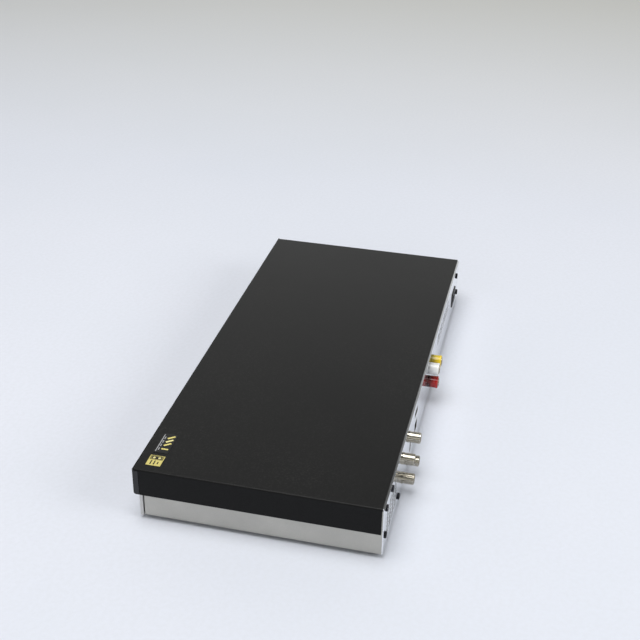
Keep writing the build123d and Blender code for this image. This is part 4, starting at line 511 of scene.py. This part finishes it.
finishes = {
    "cover_paint": cover_paint(),
    "galvanised": sheet_metal("galvanised", linear(190, 188, 181), linear(174, 172, 166), 0.36),
    "panel_steel": sheet_metal("panel_steel", linear(244, 245, 247), linear(230, 232, 236), 0.12),
    "gloss_black": moulded("gloss_black", linear(12, 13, 15), linear(20, 21, 24), 0.16, 3000.0, 0.000004),
    "smoked": smoked_glass(),
    "silver_plastic": moulded(
        "silver_plastic", linear(196, 195, 193), linear(212, 211, 209), 0.34, 2200.0, Metallic=0.5
    ),
    "black_plastic": moulded("black_plastic", linear(26, 26, 28), linear(46, 46, 48), 0.5),
    "grey_plastic": moulded("grey_plastic", linear(90, 90, 92), linear(116, 116, 118), 0.5),
    # Each collar's first colour is painted shade near the panel; the second is its own colour at the tip
    "white_plastic": collar_plastic(
        "white_plastic", linear(176, 177, 178), linear(238, 238, 234), linear(244, 244, 240)
    ),
    "yellow_plastic": collar_plastic(
        "yellow_plastic", linear(120, 104, 8), linear(240, 204, 20), linear(244, 222, 80)
    ),
    "red_plastic": collar_plastic(
        "red_plastic", linear(44, 4, 6), linear(176, 14, 10), linear(196, 40, 34)
    ),
    "foil_gold": printed_foil(
        "gold_badge", "foil_gold", linear(232, 220, 140), linear(216, 200, 112), 0.2, 0.35, gold_marks
    ),
    "foil_black": printed_foil(
        "black_badge", "foil_black", linear(22, 22, 22), linear(30, 30, 30), 0.0, 0.35, black_marks
    ),
    "rubber": moulded("rubber", linear(30, 30, 30), linear(52, 52, 52), 0.75, 1200.0, 0.00004),
    "nickel": sheet_metal("nickel", linear(196, 191, 178), linear(160, 153, 136), 0.14, ROUND_Y),
    "black_steel": sheet_metal("black_steel", linear(46, 46, 50), linear(30, 30, 32), 0.36, EVEN),
    "cast_aluminium": sheet_metal(
        "cast_aluminium", linear(196, 197, 200), linear(160, 161, 164), 0.5, EVEN
    ),
    "aluminium": sheet_metal(
        "aluminium", linear(214, 215, 218), linear(186, 187, 190), 0.34, (1.0, 50.0, 50.0)
    ),
    "circuit_board": circuit("circuit_board", linear(20, 92, 44), linear(14, 66, 34), linear(46, 128, 62)),
    "power_circuit": circuit(
        "power_circuit", linear(188, 150, 84), linear(160, 122, 62), linear(204, 172, 112)
    ),
    "chip": moulded("chip", linear(24, 24, 26), linear(40, 40, 42), 0.45, 2600.0),
    "winding": winding(),
    "capacitor": moulded("capacitor", linear(30, 34, 66), linear(50, 56, 92), 0.3, 1500.0, 0.000005),
    "lens": coated_lens(),
    "mirror_disk": sheet_metal(
        "mirror_disk", linear(228, 228, 230), linear(220, 220, 224), 0.1, EVEN, 0.000001
    ),
    "cable": moulded("cable", linear(200, 200, 198), linear(220, 220, 220), 0.45),
}

for node_name, cad in nodes.items():
    cad.data.materials.clear()
    cad.data.materials.append(finishes[slot_of[node_name]].material)


# Small pieces that the CAD leaves plain

cream = moulded("cream_insulator", linear(226, 216, 190), linear(236, 228, 206), 0.4).material
contact_gold = sheet_metal("contact_gold", linear(236, 200, 110), linear(206, 164, 76), 0.22, EVEN).material
nickel_plate = finishes["nickel"].material


def add_piece(name, mesh_bm, body, material):
    """One new piece from finished geometry; it hangs from an empty named for its body and shades smoothly up
    to 35 degrees.
    """
    mesh = bpy.data.meshes.new(name)
    for face in mesh_bm.faces:
        face.smooth = True
    for edge in mesh_bm.edges:
        edge.smooth = len(edge.link_faces) == 2 and edge.calc_face_angle(0.0) < SHARP_ANGLE
    mesh_bm.to_mesh(mesh)
    mesh_bm.free()
    piece = bpy.data.objects.new(name, mesh)
    piece.data.materials.append(material)
    scene.collection.objects.link(piece)
    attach(piece, body)
    return piece


def add_block(bm, low, high):
    """A box between two corners, in millimetres."""
    middle = [(a + b) / 2 * MM for a, b in zip(low, high)]
    size = [(b - a) * MM for a, b in zip(low, high)]
    place = Matrix.Translation(middle) @ Matrix.Diagonal((*size, 1.0))
    bmesh.ops.create_cube(bm, size=1.0, matrix=place)


# Rings on the rear sockets, in millimetres: where each starts and ends outwards of the panel, its outer
# and inner radius, and the rounding of its rims

INSULATOR = (5.4, 8.6, 3.5, 0.8, 0.12)
TIP_RING = (9.55, 9.98, 4.35, 3.62, 0.1)
OUTER_RIM = (6.6, 8.7, 5.62, 5.2, 0.18)
ROOT_RIM = (0.3, 1.2, 5.62, 5.2, 0.15)
SLEEVE_LIP = (8.72, 9.3, 4.15, 3.55, 0.1)
CENTRE_CONTACT = (1.0, 8.9, 1.66, 1.3, 0.1)
RING_STEPS = 48


def add_ring(bm, place, ring):
    """A ring about an axis along Y with rounded rims: its section, spun round."""
    x, z = place
    start, end, outer, inner, r = ring
    section = (
        (inner, start + r), (inner + r, start), (outer - r, start), (outer, start + r),
        (outer, end - r), (outer - r, end), (inner + r, end), (inner, end - r),
    )
    points = [bm.verts.new(((x + away) * MM, (REAR + out) * MM, z * MM)) for away, out in section]
    lines = [bm.edges.new(pair) for pair in zip(points, points[1:] + points[:1])]
    bmesh.ops.spin(
        bm, geom=points + lines, cent=(x * MM, 0.0, z * MM), axis=(0.0, 1.0, 0.0), dvec=(0.0, 0.0, 0.0),
        angle=2 * math.pi, steps=RING_STEPS, use_merge=True, use_duplicate=False,
    )
    bmesh.ops.recalc_face_normals(bm, faces=bm.faces)


def dress_aerial_sockets():
    """A cream insulator in each bore and a turned ring at each tip."""
    insulators = bmesh.new()
    tip_rings = bmesh.new()
    for place in aerial_places():
        add_ring(insulators, place, INSULATOR)
        add_ring(tip_rings, place, TIP_RING)
    add_piece("aerial_insulators", insulators, "casing", cream)
    add_piece("aerial_tip_rings", tip_rings, "casing", nickel_plate)


def dress_collar(node_name):
    """Raised rims on a coloured collar, and the metal lip and centre contact of its socket."""
    place = middle_of(node_name)
    rims = bmesh.new()
    add_ring(rims, place, OUTER_RIM)
    add_ring(rims, place, ROOT_RIM)
    slot_name = slot_of[node_name]
    add_piece(node_name + "_rims", rims, "casing", finishes[slot_name].material)
    sleeve = bmesh.new()
    add_ring(sleeve, place, SLEEVE_LIP)
    add_ring(sleeve, place, CENTRE_CONTACT)
    add_piece(node_name + "_sleeve", sleeve, "casing", nickel_plate)


def dress_network_socket():
    """Eight gold contact springs, a little over the floor of the socket."""
    count = 8
    pitch = 1.02
    half_wide = 0.18
    under, over = 0.1, 0.35
    far_in, near_in = 12.0, 2.0
    middle_x, floor_z = network_place()
    springs = bmesh.new()
    for turn in range(count):
        x = middle_x + (turn - (count - 1) / 2) * pitch
        low = (x - half_wide, REAR - far_in, floor_z + under)
        high = (x + half_wide, REAR - near_in, floor_z + over)
        add_block(springs, low, high)
    add_piece("network_springs", springs, "casing", contact_gold)


dress_aerial_sockets()
for collar in ("rca_yellow", "rca_white", "rca_red"):
    dress_collar(collar)
dress_network_socket()


# Floor, light and camera

FLOOR_HALF_SIZE = 12.0
SEEN_BACKGROUND = 0.7
DAYLIGHT = (0.99, 1.0, 0.99, 1.0)


def paint_floor():
    """Pale matt table top, cooler near the recorder and warmer far behind it."""
    f = Finish("pale_floor", Specular_IOR_Level=0.2)
    patch = f.group(CLOUD, Scale=1.2)["Patch"]
    grains = f.group(GRAIN, Scale=260.0)
    place = f.tree.nodes.new("ShaderNodeSeparateXYZ")
    f.tree.links.new(object_place(f.tree), place.inputs["Vector"])
    near = f.blend(patch, linear(224, 228, 237), linear(228, 231, 240))
    tint = f.blend(f.range(place.outputs["X"], -0.5, -1.6), near, linear(228, 228, 222))
    f.set(Base_Color=f.blend(f.range(grains["Speck"], 0.0, 1.0, 0.0, 0.3), tint, linear(218, 221, 228)))
    f.set(Roughness=f.range(patch, 0.0, 1.0, 0.7, 0.8))
    return f.material


floor_bm = bmesh.new()
bmesh.ops.create_grid(floor_bm, x_segments=1, y_segments=1, size=FLOOR_HALF_SIZE)
floor_mesh = bpy.data.meshes.new("floor")
floor_bm.to_mesh(floor_mesh)
floor_bm.free()
floor = bpy.data.objects.new("floor", floor_mesh)
floor.data.materials.append(paint_floor())
scene.collection.objects.link(floor)

world = bpy.data.worlds.new("studio")
world.use_nodes = True
scene.world = world
sky = world.node_tree
background = sky.nodes["Background"]
direction = sky.nodes.new("ShaderNodeTexCoord").outputs["Generated"]
height_split = sky.nodes.new("ShaderNodeSeparateXYZ")
sky.links.new(direction, height_split.inputs["Vector"])
upper_fade = add_range(sky, height_split.outputs["Z"], 0.32, 0.62, 1.0, 0.08)
lower_fade = add_range(sky, height_split.outputs["Z"], 0.0, 0.3, 0.25, 1.0)
glow = add_math(sky, "MULTIPLY", upper_fade, lower_fade)
# The camera sees an even background; the softer glow from high up only lights and mirrors
seen = sky.nodes.new("ShaderNodeLightPath").outputs["Is Camera Ray"]
strength = sky.nodes.new("ShaderNodeMix")
strength.data_type = "FLOAT"
sky.links.new(seen, strength.inputs["Factor"])
sky.links.new(glow, strength.inputs["A"])
strength.inputs["B"].default_value = SEEN_BACKGROUND
sky.links.new(strength.outputs["Result"], background.inputs["Strength"])
background.inputs["Color"].default_value = DAYLIGHT


def soft_lamp(name, place, aim, size, power, color=(1.0, 1.0, 1.0)):
    """A large square lamp that looks at a place."""
    data = bpy.data.lights.new(name, "AREA")
    data.shape = "SQUARE"
    data.size = size
    data.energy = power
    data.color = color
    lamp = bpy.data.objects.new(name, data)
    lamp.location = place
    lamp.rotation_euler = (Vector(aim) - Vector(place)).to_track_quat("-Z", "Y").to_euler()
    scene.collection.objects.link(lamp)


soft_lamp("overhead", (0.3, -0.3, 2.6), (0, 0, 0), 1.8, 56)
soft_lamp("window_side", (0.4, 2.2, 1.3), (0, 0, 0), 1.2, 17)

camera_data = bpy.data.cameras.new("photo_camera")
camera_data.lens = 63.6
camera_data.sensor_width = 36.0
camera_data.clip_end = 60.0
camera = bpy.data.objects.new("photo_camera", camera_data)
camera_right = Vector((-0.23290, 0.97237, 0.01610))
camera_up = Vector((-0.47590, -0.12839, 0.87008))
camera_back = Vector((0.84810, 0.19498, 0.49265))
turn = Matrix((camera_right, camera_up, camera_back)).transposed().to_4x4()
camera.matrix_world = Matrix.Translation((0.8676, 0.1928, 0.5810)) @ turn
scene.collection.objects.link(camera)
scene.camera = camera

scene.view_settings.view_transform = "Standard"
